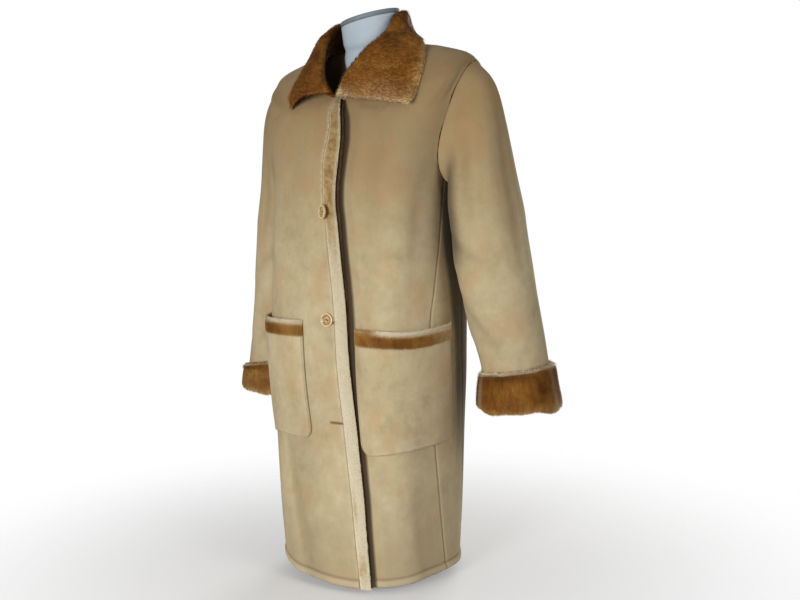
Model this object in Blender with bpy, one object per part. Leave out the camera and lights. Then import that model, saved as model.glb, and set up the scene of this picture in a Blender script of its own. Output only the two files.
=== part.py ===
"""Faux shearling coat on a limbless dress form.

Metres, +Z up.  The coat faces -Y and the wearer's left is +X.  The origin is
the centre of the stand's foot, on the floor.  Every cloth piece is a wall
worked out from one of three surfaces: the body (rings from the hem to the
neckline), the sleeve (sections from the armhole to the cuff) and the collar
(a profile carried round the neckline).
"""
import math

import bpy
import numpy as np

MM = 0.001
SEAM = 0.3 * MM            # gap between two pieces that are sewn together
REST = 0.95 * MM           # gap under a piece that lies on a curved panel
CLOTH = 5.0 * MM           # suede face bonded to its pile
PILE = 9.0 * MM            # double cloth with the pile outside
HEM_Z = 14.0 * MM          # hem above the floor
HEM_ROLL = 2.0 * MM        # how far the turned hem stands proud
HEM_ROLL_TOP = 0.12        # ring row where the hem roll ends

# Rings of the body from the hem up: heights above the hem at the front, side
# and back, half width, depth in front of and behind the side line, how square
# the corners are, how far the cloth is turned round the figure, where the
# middle of the side line lies, and how much higher the right side hangs.
BODY_RINGS = np.array([
    # front_z, side_z, back_z, half_width, front_depth, back_depth, square, turn_deg,
    # side_x, side_y, lean
    (-0.001, 0.020, 0.012, 0.181, 0.180, 0.148, 0.020, 20.0, -0.0045, 0.000, 0.014),
    (0.139, 0.149, 0.145, 0.186, 0.178, 0.150, 0.035, 12.5, -0.0045, 0.000, 0.007),
    (0.280, 0.283, 0.281, 0.1905, 0.176, 0.151, 0.040, 6.5, -0.0045, 0.000, 0.002),
    (0.420, 0.420, 0.420, 0.1945, 0.173, 0.151, 0.050, 2.5, -0.0045, 0.000, 0.000),
    (0.550, 0.550, 0.550, 0.194, 0.169, 0.150, 0.055, 1.0, -0.003, 0.000, 0.000),
    (0.670, 0.670, 0.670, 0.189, 0.167, 0.147, 0.055, 0.0, 0.000, 0.000, 0.000),
    (0.770, 0.780, 0.780, 0.189, 0.166, 0.142, 0.050, 0.0, 0.002, 0.003, 0.000),
    (0.830, 0.865, 0.875, 0.205, 0.166, 0.133, 0.045, 0.0, 0.005, 0.010, 0.000),
    (0.875, 0.945, 0.950, 0.225, 0.164, 0.119, 0.040, 0.0, 0.009, 0.018, -0.002),
    (0.910, 1.012, 1.000, 0.233, 0.156, 0.104, 0.030, 0.0, 0.010, 0.022, -0.004),
    (0.938, 1.044, 1.030, 0.163, 0.136, 0.092, 0.015, 0.0, 0.006, 0.016, -0.004),
    (0.955, 1.060, 1.050, 0.088, 0.114, 0.078, 0.000, 0.0, 0.000, 0.010, 0.000),
])
NECK_ROW = 11.0
SHOULDER_ROW = 9.0

# Seams as rows of (ring row, angle round the body in degrees).
CLOSING_EDGE = np.array([
    (0.0, 8.7), (0.7, 10.8), (1.4, 12.9), (2.1, 13.6), (3.3, 11.9),
    (4.0, 11.0), (5.3, 7.6), (5.8, 6.0), (6.8, 5.8), (8.3, 3.8), (9.4, 2.0), (11.0, 2.5)])
SIDE_FRONT_SEAM = np.array([
    (0.0, 65.0), (1.6, 66.0), (3.0, 66.0), (3.7, 67.0), (4.3, 72.0), (5.0, 78.0), (6.1, 81.0)])
SIDE_SEAM_DEG = 101.0
ARMHOLE = np.array([       # ring row, front angle, back angle
    (6.1, 81.0, 101.0), (6.35, 74.5, 106.0), (6.8, 69.0, 110.0), (7.4, 66.5, 112.5),
    (8.05, 67.0, 111.0), (8.55, 72.0, 106.0), (8.88, 80.0, 98.0), (9.0, 89.0, 91.0)])
ARMHOLE_FLOOR_ROW = 6.0    # lowest row of the armhole, between its two seams
SHOULDER_SEAM_DEG = 90.0

# The right front laps over the left.
LAP_DEG = 20.0             # how far the left front runs on under the right
LAP_DROP_TOP, LAP_DROP_HEM = 16.0 * MM, 10.0 * MM
LAP_SLOPE_DEG = 10.0       # the left front comes back out over this angle
EDGE_TRIM_DEG = np.array([ # ring row, width of the pile edging in degrees
    (0.0, 6.3), (2.0, 7.0), (4.0, 6.2), (5.5, 6.4), (6.9, 7.7), (8.7, 4.9), (11.0, 6.0)])
EDGE_TRIM_PROUD = 2.0 * MM
TRIM_TOP_DEG = 4.5         # the collar's ends stand on the edging within this angle

# Sleeve sections below the cap: centre, half width outwards, half depth to
# the front, and the tilt of the section in degrees.
SLEEVE_SECTIONS = np.array([
    # x, y, z, half_out, half_front, tilt_deg
    (0.2615, 0.0165, 0.720, 0.0680, 0.0950, 12.0),
    (0.2675, 0.0160, 0.660, 0.0680, 0.0920, 10.0),
    (0.2780, 0.0180, 0.595, 0.0700, 0.0840, 10.0),
    (0.2920, 0.0220, 0.520, 0.0700, 0.0740, 9.0),
    (0.3130, 0.0240, 0.430, 0.0655, 0.0660, 5.0),
    (0.3215, 0.0250, 0.352, 0.0735, 0.0700, 2.0),
])
SLEEVE_SHIFT = {           # inwards at the end, backwards, down, front edge drawn back at the top
    "left": (0.0, 0.0, 0.0, 0.0), "right": (0.013, 0.042, 0.0155, 0.014)}
SIDE_SIGN = {"left": 1, "right": -1}
CUFF_FOLD_DEPTH = 0.083    # length of one sleeve row past the sleeve's end
CUFF_TOP_ROW = {"left": 4.06, "right": 4.30}   # where the turned-back cuff begins
CAP_ROWS = 6
CAP_START_REACH, CAP_END_REACH = 0.30, 0.48

# Collar stations from the wearer's right end, round the back, to the left
# end: the roll line and the outer edge (above the hem), and how far the
# leaf bows outwards.
COLLAR = np.array([
    # station, roll_x, roll_y, roll_z, edge_x, edge_y, edge_z, bow
    (-1.00, -0.004, -0.130, 0.962, -0.103, -0.122, 0.934, 0.022),
    (-0.90, -0.023, -0.117, 0.990, -0.119, -0.097, 0.958, 0.018),
    (-0.75, -0.045, -0.085, 1.034, -0.118, -0.049, 1.018, 0.012),
    (-0.60, -0.062, -0.045, 1.076, -0.115, -0.008, 1.056, 0.010),
    (-0.45, -0.069, 0.008, 1.108, -0.106, 0.044, 1.074, 0.006),
    (-0.25, -0.049, 0.064, 1.116, -0.074, 0.102, 1.068, 0.002),
    (0.00, 0.000, 0.092, 1.114, 0.000, 0.128, 1.062, 0.000),
    (0.25, 0.050, 0.062, 1.116, 0.072, 0.096, 1.066, -0.004),
    (0.45, 0.0715, 0.010, 1.119, 0.106, 0.034, 1.068, -0.006),
    (0.60, 0.072, -0.040, 1.082, 0.147, -0.022, 1.052, 0.002),
    (0.75, 0.046, -0.090, 1.034, 0.172, -0.074, 0.991, 0.008),
    (0.90, 0.023, -0.125, 0.986, 0.176, -0.112, 0.948, 0.009),
    (1.00, 0.012, -0.134, 0.953, 0.171, -0.131, 0.930, 0.003),
])
COLLAR_END_DEG = 2.5       # the collar's ends stop this far from the middle
ROLL_RADIUS_FRONT, ROLL_RADIUS_BACK = 9.0 * MM, 6.0 * MM
COLLAR_FOOT = 6.0 * MM     # width of the collar's seam on the neckline
COLLAR_REST = 1.5 * MM     # air between the leaf and the shoulders

# Patch pockets: inner and outer angles at the top and bottom, ring rows of
# the top (inner, outer) and of the bottom (inner, outer).
POCKETS = {
    # side, inner_top, outer_top, inner_bottom, outer_bottom,
    # top_inner, top_outer, bottom_inner, bottom_outer
    "left_pocket": (1, 15.7, 84.0, 15.0, 83.0, 3.60, 3.66, 1.87, 1.97),
    "right_pocket": (-1, 13.5, 83.5, 13.0, 82.5, 3.74, 3.74, 2.04, 2.00),
}
BAND_ROWS = 0.225          # height of the pile band in ring rows
POCKET_WALL = 3.5 * MM
POCKET_ROOM = 7.5 * MM     # hollow between pocket and front
POCKET_EASE = 0.075        # part of the width over which the hollow opens
BAND_PROUD = 4.0 * MM

BUTTON_RADIUS, BUTTON_THICKNESS = 14.0 * MM, 4.2 * MM
BUTTONS = {                # ring row, angle, turned in its hole, lift off the cloth
    "upper_button": (5.56, 0.8, -30.0, -0.5 * MM),
    "lower_button": (3.78, 1.2, 0.0, SEAM),
}

# Dress form: rings under the shoulders down to its cut bottom edge, with the
# same columns as the body's rings.
FORM_RINGS = np.array([
    (0.915, 1.000, 0.985, 0.188, 0.115, 0.080, 0.0, 0.0, 0.005, 0.018, 0.0),
    (0.880, 0.965, 0.955, 0.186, 0.124, 0.090, 0.0, 0.0, 0.004, 0.014, 0.0),
    (0.820, 0.890, 0.885, 0.165, 0.124, 0.098, 0.0, 0.0, 0.002, 0.006, 0.0),
    (0.740, 0.790, 0.790, 0.150, 0.112, 0.098, 0.0, 0.0, 0.000, 0.000, 0.0),
    (0.640, 0.650, 0.650, 0.128, 0.095, 0.088, 0.0, 0.0, 0.000, 0.000, 0.0),
    (0.540, 0.540, 0.540, 0.146, 0.108, 0.108, 0.0, 0.0, 0.000, 0.000, 0.0),
    (0.460, 0.460, 0.460, 0.158, 0.116, 0.118, 0.0, 0.0, 0.000, 0.000, 0.0),
    (0.430, 0.430, 0.430, 0.154, 0.112, 0.114, 0.0, 0.0, 0.000, 0.000, 0.0),
])
FORM_SEAT_ROWS = (10.1, 10.4, 10.7, 11.0)
FORM_SEAT_GAP = 1.6 * MM
FORM_FRONT_EASE = 34.0 * MM
NECK_RADIUS, NECK_TOP_RADIUS = 0.0560, 0.0620
NECK_BASE = (0.002, 0.012, 1.060)
NECK_TOP = (0.006, 0.008, 1.112)
NECK_SLANT = (-0.17, -0.14, 0.975)     # direction that the cut top of the neck faces
NECK_BASE_SLANT = (0.0, -0.50, 0.866)  # the neck leaves the chest lower in front
NECK_CAP_HEIGHT = 10.0 * MM
POLE_RADIUS = 0.0125
FOOT_RADIUS, FOOT_HEIGHT = 0.125, 11.0 * MM

COLORS = {                 # slot: colour, roughness, metallic
    "suede": ((0.42, 0.31, 0.17, 1.0), 0.9, 0.0),
    "pile": ((0.36, 0.17, 0.05, 1.0), 0.8, 0.0),
    "pile_edge": ((0.66, 0.56, 0.38, 1.0), 0.85, 0.0),
    "button": ((0.60, 0.42, 0.18, 1.0), 0.3, 0.0),
    "form": ((0.42, 0.48, 0.54, 1.0), 0.6, 0.0),
    "metal": ((0.55, 0.55, 0.56, 1.0), 0.35, 1.0),
}


def smooth_rows(stops, rows, at):
    """Monotone cubic curve through rows of values, one row for each stop."""
    stops, rows = np.asarray(stops, float), np.asarray(rows, float)
    at = np.clip(np.asarray(at, float), stops[0], stops[-1])
    column = (-1,) + (1,) * (rows.ndim - 1)
    step = np.diff(stops)
    slope = np.diff(rows, axis=0) / step.reshape(column)
    tangent = np.zeros_like(rows)
    tangent[0], tangent[-1] = slope[0], slope[-1]
    before, after = slope[:-1], slope[1:]
    near = (2 * step[1:] + step[:-1]).reshape(column)
    far = (step[1:] + 2 * step[:-1]).reshape(column)
    same_sign = before * after > 0
    safe_before, safe_after = np.where(same_sign, before, 1.0), np.where(same_sign, after, 1.0)
    tangent[1:-1] = np.where(same_sign, (near + far) / (near / safe_before + far / safe_after), 0.0)
    cell = np.clip(np.searchsorted(stops, at, side="right") - 1, 0, len(stops) - 2)
    shape = at.shape + (1,) * (rows.ndim - 1)
    t = ((at - stops[cell]) / step[cell]).reshape(shape)
    width = step[cell].reshape(shape)
    return ((2 * t**3 - 3 * t**2 + 1) * rows[cell] + (t**3 - 2 * t**2 + t) * width * tangent[cell]
            + (3 * t**2 - 2 * t**3) * rows[cell + 1] + (t**3 - t**2) * width * tangent[cell + 1])


def table_curve(table, at):
    """Value of a two-column table at the given stops."""
    return smooth_rows(table[:, 0], table[:, 1], at)


def ease(low, high, value):
    """0 below low, 1 above high, and a smooth step between."""
    t = np.clip((np.asarray(value, float) - low) / (high - low), 0.0, 1.0)
    return t * t * (3 - 2 * t)


def unit(vectors):
    return vectors / np.linalg.norm(vectors, axis=-1, keepdims=True)


def ring_point(ring, angle_deg):
    """Point of a ring: a squared ellipse whose height runs from front to back by the side."""
    (front_z, side_z, back_z, half_width, front_depth, back_depth, square, turn,
     side_x, side_y, lean) = np.moveaxis(ring, -1, 0)
    angle = np.radians(np.asarray(angle_deg, float) + turn)
    across = (np.sin(angle) + square * np.sin(3 * angle)) / (1 - square)
    along = (np.cos(angle) - square * np.cos(3 * angle)) / (1 - square)
    to_front = np.cos(angle) > 0
    y = side_y - along * np.where(to_front, front_depth, back_depth)
    end_z = np.where(to_front, front_z, back_z)
    z = side_z + (end_z - side_z) * np.abs(np.cos(angle)) ** 1.7 - lean * np.sin(angle)
    return np.stack([side_x + half_width * across, y, z + HEM_Z], axis=-1)


def body_surface(angle_deg, row):
    """The coat's outer face, with no lap."""
    angle_deg, row = np.broadcast_arrays(np.asarray(angle_deg, float), np.asarray(row, float))
    return ring_point(smooth_rows(np.arange(len(BODY_RINGS)), BODY_RINGS, row), angle_deg)


def body_point(angle_deg, row, out=0.0):
    """A point of the body surface moved out along its normal."""
    angle_deg, row = np.broadcast_arrays(np.asarray(angle_deg, float), np.asarray(row, float))
    step = 0.02
    low, high = np.clip(row - step, 0, NECK_ROW), np.clip(row + step, 0, NECK_ROW)
    round_body = body_surface(angle_deg + step, row) - body_surface(angle_deg - step, row)
    upwards = body_surface(angle_deg, high) - body_surface(angle_deg, low)
    normal = unit(np.cross(round_body, upwards))
    return body_surface(angle_deg, row) + normal * np.asarray(out, float)[..., None]


def closing_edge(row):
    return table_curve(CLOSING_EDGE, row)


def lap_drop(angle_deg, row):
    """How far the left front lies under the right one near the closing edge."""
    edge = closing_edge(row)
    depth = LAP_DROP_HEM + (LAP_DROP_TOP - LAP_DROP_HEM) * ease(2.0, 6.0, row)
    return -depth * np.clip((edge + LAP_SLOPE_DEG - angle_deg) / (LAP_SLOPE_DEG + 1.0), 0.0, 1.0)


def hem_roll(row):
    return HEM_ROLL * (1 - ease(0.7 * HEM_ROLL_TOP, HEM_ROLL_TOP, row))


def material(slot):
    """One Principled material for each finish."""
    if slot in bpy.data.materials:
        return bpy.data.materials[slot]
    color, roughness, metallic = COLORS[slot]
    made = bpy.data.materials.new(slot)
    made.use_nodes = True
    shader = made.node_tree.nodes["Principled BSDF"]
    shader.inputs["Base Color"].default_value = color
    shader.inputs["Roughness"].default_value = roughness
    shader.inputs["Metallic"].default_value = metallic
    made.diffuse_color = color
    return made


def add_object(name, vertices, faces, slot):
    """A named object whose faces point out."""
    vertices = np.asarray(vertices, float)
    corners = vertices[np.asarray(faces)]
    volume = np.einsum("ij,ij->", corners[:, 0], np.cross(corners[:, 1], corners[:, 2]))
    if volume < 0:
        faces = [face[::-1] for face in faces]
    mesh = bpy.data.meshes.new(name)
    mesh.from_pydata(vertices.tolist(), [], [list(map(int, face)) for face in faces])
    mesh.materials.append(material(slot))
    made = bpy.data.objects.new(name, mesh)
    bpy.context.scene.collection.objects.link(made)
    return made


def split_quads(quads):
    """Two triangles for each quad, always along the same diagonal."""
    quads = np.asarray(quads).reshape(-1, 4)
    return np.concatenate([quads[:, [0, 1, 2]], quads[:, [0, 2, 3]]])


def wall(name, outer, inner, slot, round_tube=False):
    """Closed wall between two grids of points; a tube is joined column to column."""
    rows, columns = outer.shape[:2]
    index = np.arange(rows * columns).reshape(rows, columns)
    if round_tube:
        index = np.concatenate([index, index[:, :1]], axis=1)
    shift = rows * columns
    face = np.stack([index[:-1, :-1], index[:-1, 1:], index[1:, 1:], index[1:, :-1]], axis=-1)
    quads = [face.reshape(-1, 4), face[..., ::-1].reshape(-1, 4) + shift]
    low, high = index[0], index[-1]
    quads.append(np.stack([low[1:], low[:-1], low[:-1] + shift, low[1:] + shift], axis=-1))
    quads.append(np.stack([high[:-1], high[1:], high[1:] + shift, high[:-1] + shift], axis=-1))
    if not round_tube:
        first, last = index[:, 0], index[:, -1]
        quads.append(np.stack([first[:-1], first[1:], first[1:] + shift, first[:-1] + shift], axis=-1))
        quads.append(np.stack([last[1:], last[:-1], last[:-1] + shift, last[1:] + shift], axis=-1))
    vertices = np.concatenate([outer.reshape(-1, 3), inner.reshape(-1, 3)])
    return add_object(name, vertices, split_quads(np.concatenate(quads)), slot)


def loop_solid(name, loops, slot):
    """Closed ring: each loop is a closed section, and the last joins the first."""
    count, sides = loops.shape[:2]
    index = np.arange(count * sides).reshape(count, sides)
    index = np.concatenate([index, index[:1]], axis=0)
    index = np.concatenate([index, index[:, :1]], axis=1)
    quads = np.stack([index[:-1, :-1], index[:-1, 1:], index[1:, 1:], index[1:, :-1]], axis=-1)
    return add_object(name, loops.reshape(-1, 3), split_quads(quads), slot)


def stack_solid(name, loops, slot):
    """Closed solid through a stack of closed sections, with flat fans at its two ends."""
    count, sides = loops.shape[:2]
    index = np.arange(count * sides).reshape(count, sides)
    index = np.concatenate([index, index[:, :1]], axis=1)
    faces = split_quads(np.stack([index[:-1, :-1], index[:-1, 1:], index[1:, 1:], index[1:, :-1]], axis=-1))
    ends = np.stack([loops[0].mean(axis=0), loops[-1].mean(axis=0)])
    low, high = count * sides, count * sides + 1
    fan_low = np.stack([index[0, 1:], index[0, :-1], np.full(sides, low)], axis=-1)
    fan_high = np.stack([index[-1, :-1], index[-1, 1:], np.full(sides, high)], axis=-1)
    vertices = np.concatenate([loops.reshape(-1, 3), ends])
    return add_object(name, vertices, np.concatenate([faces, fan_low, fan_high]), slot)


# ---------------------------------------------------------------- body panels

LOW_ROWS = np.concatenate([[0.0, 0.08, HEM_ROLL_TOP], np.linspace(0.75, 6.1, 9)])
ARMHOLE_ROWS = np.array([6.1, 6.35, 6.8, 7.4, 8.0, 8.45, 8.8, 9.0])
TOP_ROWS = np.array([9.0, 9.5, 10.0, 10.5, 11.0])
PANEL_ROWS = np.concatenate([LOW_ROWS, ARMHOLE_ROWS[1:], TOP_ROWS[1:]])


def beside_seam(angle_deg, row, sign):
    """The angle of a seam, moved half a seam gap to the given side."""
    per_degree = np.linalg.norm(body_surface(angle_deg + 0.5, row) - body_surface(angle_deg - 0.5, row), axis=-1)
    return angle_deg + sign * 0.5 * SEAM / per_degree


def armhole_edge(row, column):
    return smooth_rows(ARMHOLE[:, 0], ARMHOLE[:, column], row)


def front_outer_edge(row):
    """A front's outer boundary: side-front seam, then armhole, then shoulder seam."""
    seam = table_curve(SIDE_FRONT_SEAM, row)
    hole = armhole_edge(row, 1)
    edge = np.where(row <= ARMHOLE[0, 0], seam, hole)
    return beside_seam(np.where(row > SHOULDER_ROW, SHOULDER_SEAM_DEG, edge), row, -1)


def back_outer_edge(row):
    """The back's boundary: side seam, then armhole, then shoulder seam."""
    edge = np.where(row <= ARMHOLE[0, 0], SIDE_SEAM_DEG, armhole_edge(row, 2))
    return beside_seam(np.where(row > SHOULDER_ROW, SHOULDER_SEAM_DEG, edge), row, 1)


def panel(name, angles, rows, slot, lift=None):
    """Wall of cloth over a grid of angles and rows, with the hem roll raised in it."""
    rows = np.broadcast_to(rows, angles.shape)
    lift = np.zeros(angles.shape) if lift is None else lift
    outer = body_point(angles, rows, lift + hem_roll(rows))
    inner = body_point(angles, rows, lift - CLOTH)
    return wall(name, outer, inner, slot)


def trim_seam(rows):
    return closing_edge(rows) - table_curve(EDGE_TRIM_DEG, rows)


def right_front_columns(rows):
    """Angles of the right front's columns at each row, from its outer seam to the edging."""
    outer_seam = -front_outer_edge(rows)[:, None]
    return outer_seam + (trim_seam(rows)[:, None] - outer_seam) * np.linspace(0, 1, 10)


def left_front_columns(rows):
    """Angles of the left front's columns: under the lap, up its slope, then to the outer seam."""
    near = closing_edge(rows)[:, None] + np.array([-LAP_DEG, -9.0, -1.0, 4.5, LAP_SLOPE_DEG])
    outer_seam = front_outer_edge(rows)[:, None]
    return np.concatenate([near, near[:, -1:] + (outer_seam - near[:, -1:]) * np.linspace(0, 1, 8)[1:]], axis=1)


def make_fronts():
    rows = PANEL_ROWS[:, None]
    panel("right_front", right_front_columns(PANEL_ROWS), rows, "suede")

    trim = trim_seam(rows)
    across = np.array([0.0, 0.5, 1.0])[None, :]
    gap = np.degrees(SEAM / 0.16)
    edging = trim + gap + (closing_edge(rows) - trim - gap) * across
    edging_rows = np.broadcast_to(rows, edging.shape)
    proud = EDGE_TRIM_PROUD * np.array([0.4, 1.0, 0.2])[None, :]
    under = -CLOTH - 1.5 * MM * np.array([0.0, 1.0, 0.4])[None, :]
    wall("front_edge_pile", body_point(edging, edging_rows, proud + 0 * edging),
         body_point(edging, edging_rows, under + 0 * edging), "pile_edge")

    angles = left_front_columns(PANEL_ROWS)
    panel("left_front", angles, rows, "suede", lap_drop(angles, np.broadcast_to(rows, angles.shape)))


def make_sides_and_back():
    across = np.linspace(0, 1, 5)[None, :]
    seam = beside_seam(table_curve(SIDE_FRONT_SEAM, LOW_ROWS), LOW_ROWS, 1)[:, None]
    side = beside_seam(np.full(LOW_ROWS.shape, SIDE_SEAM_DEG), LOW_ROWS, -1)[:, None]
    angles = seam + (side - seam) * across
    dip = (ARMHOLE[0, 0] - ARMHOLE_FLOOR_ROW) * np.sin(np.pi * across)
    rows = LOW_ROWS[:, None] * (1 - dip / LOW_ROWS[-1])
    panel("left_side_front", angles, rows, "suede")
    panel("right_side_front", -angles, rows, "suede")

    edge = back_outer_edge(PANEL_ROWS)[:, None]
    span = np.linspace(0, 1, 19)[None, :]
    panel("back", edge + (360.0 - 2 * edge) * span, PANEL_ROWS[:, None], "suede")


# ------------------------------------------------------------ sleeves and cuffs

SIDE_TOP = np.linspace(0, 1, 5)


def armhole_loop(side):
    """Edge points round the armhole from the shoulder down the front and up the back.

    Returns the points, the surface normals and the directions into the hole.
    """
    seam, side_seam = SIDE_FRONT_SEAM[-1, 1], SIDE_SEAM_DEG
    front_rows, back_rows = ARMHOLE_ROWS[::-1], ARMHOLE_ROWS[:-1]
    angles = np.concatenate([armhole_edge(front_rows, 1), seam + (side_seam - seam) * SIDE_TOP[1:-1],
                             armhole_edge(back_rows, 2)])
    rows = np.concatenate([front_rows, ARMHOLE[0, 0] - (ARMHOLE[0, 0] - ARMHOLE_FLOOR_ROW)
                           * np.sin(np.pi * SIDE_TOP[1:-1]), back_rows])
    edge = body_point(side * angles, rows)
    normal = unit(body_point(side * angles, rows, MM) - edge)
    along = unit(np.roll(edge, -1, axis=0) - np.roll(edge, 1, axis=0))
    into = unit(np.cross(normal, along))
    centre = edge.mean(axis=0)
    flip = np.sign(np.einsum("ij,ij->i", into, centre - edge))[:, None]
    return edge, normal, into * flip


def sleeve_ring(name, angles_deg, row, out=0.0):
    """Section of the sleeve: 0 degrees is outwards, 90 the front, 180 towards the body."""
    side = SIDE_SIGN[name]
    inwards, backwards, down, drawn_back = SLEEVE_SHIFT[name]
    angles_deg, row, out = np.broadcast_arrays(np.asarray(angles_deg, float), row, out)
    x, y, z, half_out, half_front, tilt = np.moveaxis(
        smooth_rows(np.arange(len(SLEEVE_SECTIONS)), SLEEVE_SECTIONS, row), -1, 0)
    angle, tilt = np.radians(angles_deg), np.radians(tilt)
    outwards = (half_out + out) * np.cos(angle)
    x = x - inwards * ease(0.0, 4.0, row)
    y = y + drawn_back * (1 - ease(0.0, 4.0, row))
    half_front = half_front - drawn_back * (1 - ease(0.0, 4.0, row))
    return np.stack([side * (x + outwards * np.cos(tilt)),
                     y + backwards - (half_front + out) * np.sin(angle),
                     z - down + outwards * np.sin(tilt) + HEM_Z], axis=-1)


def sleeve_angles(edge):
    """Angle of each armhole point round the sleeve, by its share of the edge's length."""
    length = np.linalg.norm(np.roll(edge, -1, axis=0) - edge, axis=1)
    share = np.concatenate([[0.0], np.cumsum(length)[:-1]]) / length.sum()
    return 360.0 * share


def make_sleeve(name):
    side = SIDE_SIGN[name]
    edge, normal, into = armhole_loop(side)
    angles = sleeve_angles(edge)
    axis_tilt = math.radians(SLEEVE_SECTIONS[0, 5])
    onwards = np.array([side * math.sin(axis_tilt), 0.0, -math.cos(axis_tilt)])
    start = edge + into * SEAM + normal * SEAM
    end = sleeve_ring(name, angles, 0.0)
    reach = np.linalg.norm(end - start, axis=1, keepdims=True)
    leave = unit(0.75 * into + 0.65 * normal + np.array([0.25 * side, 0.0, 0.0])
                 + onwards * (0.45 - 0.45 * np.cos(np.radians(angles)))[:, None])
    first = start + leave * reach * CAP_START_REACH
    second = end - onwards * reach * CAP_END_REACH
    share = np.linspace(0, 1, CAP_ROWS + 1)[:, None, None]
    cap = ((1 - share) ** 3 * start + 3 * (1 - share) ** 2 * share * first
           + 3 * (1 - share) * share ** 2 * second + share ** 3 * end)
    around = np.roll(cap, -1, axis=1) - np.roll(cap, 1, axis=1)
    inwards = unit(np.cross(around, np.gradient(cap, axis=0)))
    towards_axis = cap.mean(axis=1, keepdims=True) - cap
    inwards *= np.sign(np.einsum("ijk,ijk->ij", inwards, towards_axis))[..., None]
    inwards[0] = unit(0.6 * into + 0.4 * unit(edge.mean(axis=0) - start))
    rows = np.linspace(0.5, 5.0, 10)[:, None]
    outer = np.concatenate([cap, sleeve_ring(name, angles[None, :], rows)])
    inner = np.concatenate([cap + CLOTH * inwards, sleeve_ring(name, angles[None, :], rows, -CLOTH)])
    wall(name + "_sleeve", outer, inner, "suede", round_tube=True)

    # Turned-back cuff: a pile band outside the sleeve, folded in under its end.
    top = CUFF_TOP_ROW[name]
    profile = np.array([            # sleeve row, distance out of the sleeve's face
        (top, REST), (top - 0.02, 0.5 * PILE), (top + 0.05, PILE),
        (4.55, PILE + 3.0 * MM), (4.95, PILE + 3.5 * MM), (5.07, PILE), (5.11, 2.0 * MM),
        (5.07, -CLOTH), (5.0, -CLOTH), (5.0, REST), (4.5, REST)])
    drop = np.clip(profile[:, 0] - 5.0, 0.0, None)
    loops = sleeve_ring(name, angles[:, None], profile[None, :, 0], profile[None, :, 1])
    below_end = np.where(profile[:, 0] == 5.0, SEAM, CUFF_FOLD_DEPTH * drop)
    loops = loops - np.array([0.0, 0.0, 1.0]) * below_end[None, :, None]
    loop_solid(name + "_cuff", loops, "pile")


# ------------------------------------------------------------------------ collar

def clear_of_body(points, gap):
    """Points pushed out along the body's normal wherever they lie closer to it than the gap."""
    angles, rows = np.meshgrid(np.arange(-180.0, 180.0, 3.0), np.linspace(7.5, NECK_ROW, 50))
    near = body_point(angles, rows).reshape(-1, 3)
    normal = unit(body_point(angles, rows, MM).reshape(-1, 3) - near)
    flat = points.reshape(-1, 3)
    closest = np.argmin(np.linalg.norm(flat[:, None] - near[None], axis=-1), axis=1)
    height = np.einsum("ij,ij->i", flat - near[closest], normal[closest])
    push = np.clip(gap - height, 0.0, None)[:, None] * normal[closest]
    return (flat + push).reshape(points.shape)


def collar_angles():
    """Angles round the neck from the right end to the left, on the columns of the panels."""
    top = np.array([NECK_ROW])
    right = right_front_columns(top)[0, 1:-1][::-1]
    left = left_front_columns(top)[0, 3:-1]
    back = np.linspace(90.0, 180.0, 10)
    return np.concatenate([[-COLLAR_END_DEG], right, -back, back[-2::-1], left[::-1], [COLLAR_END_DEG]])


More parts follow.
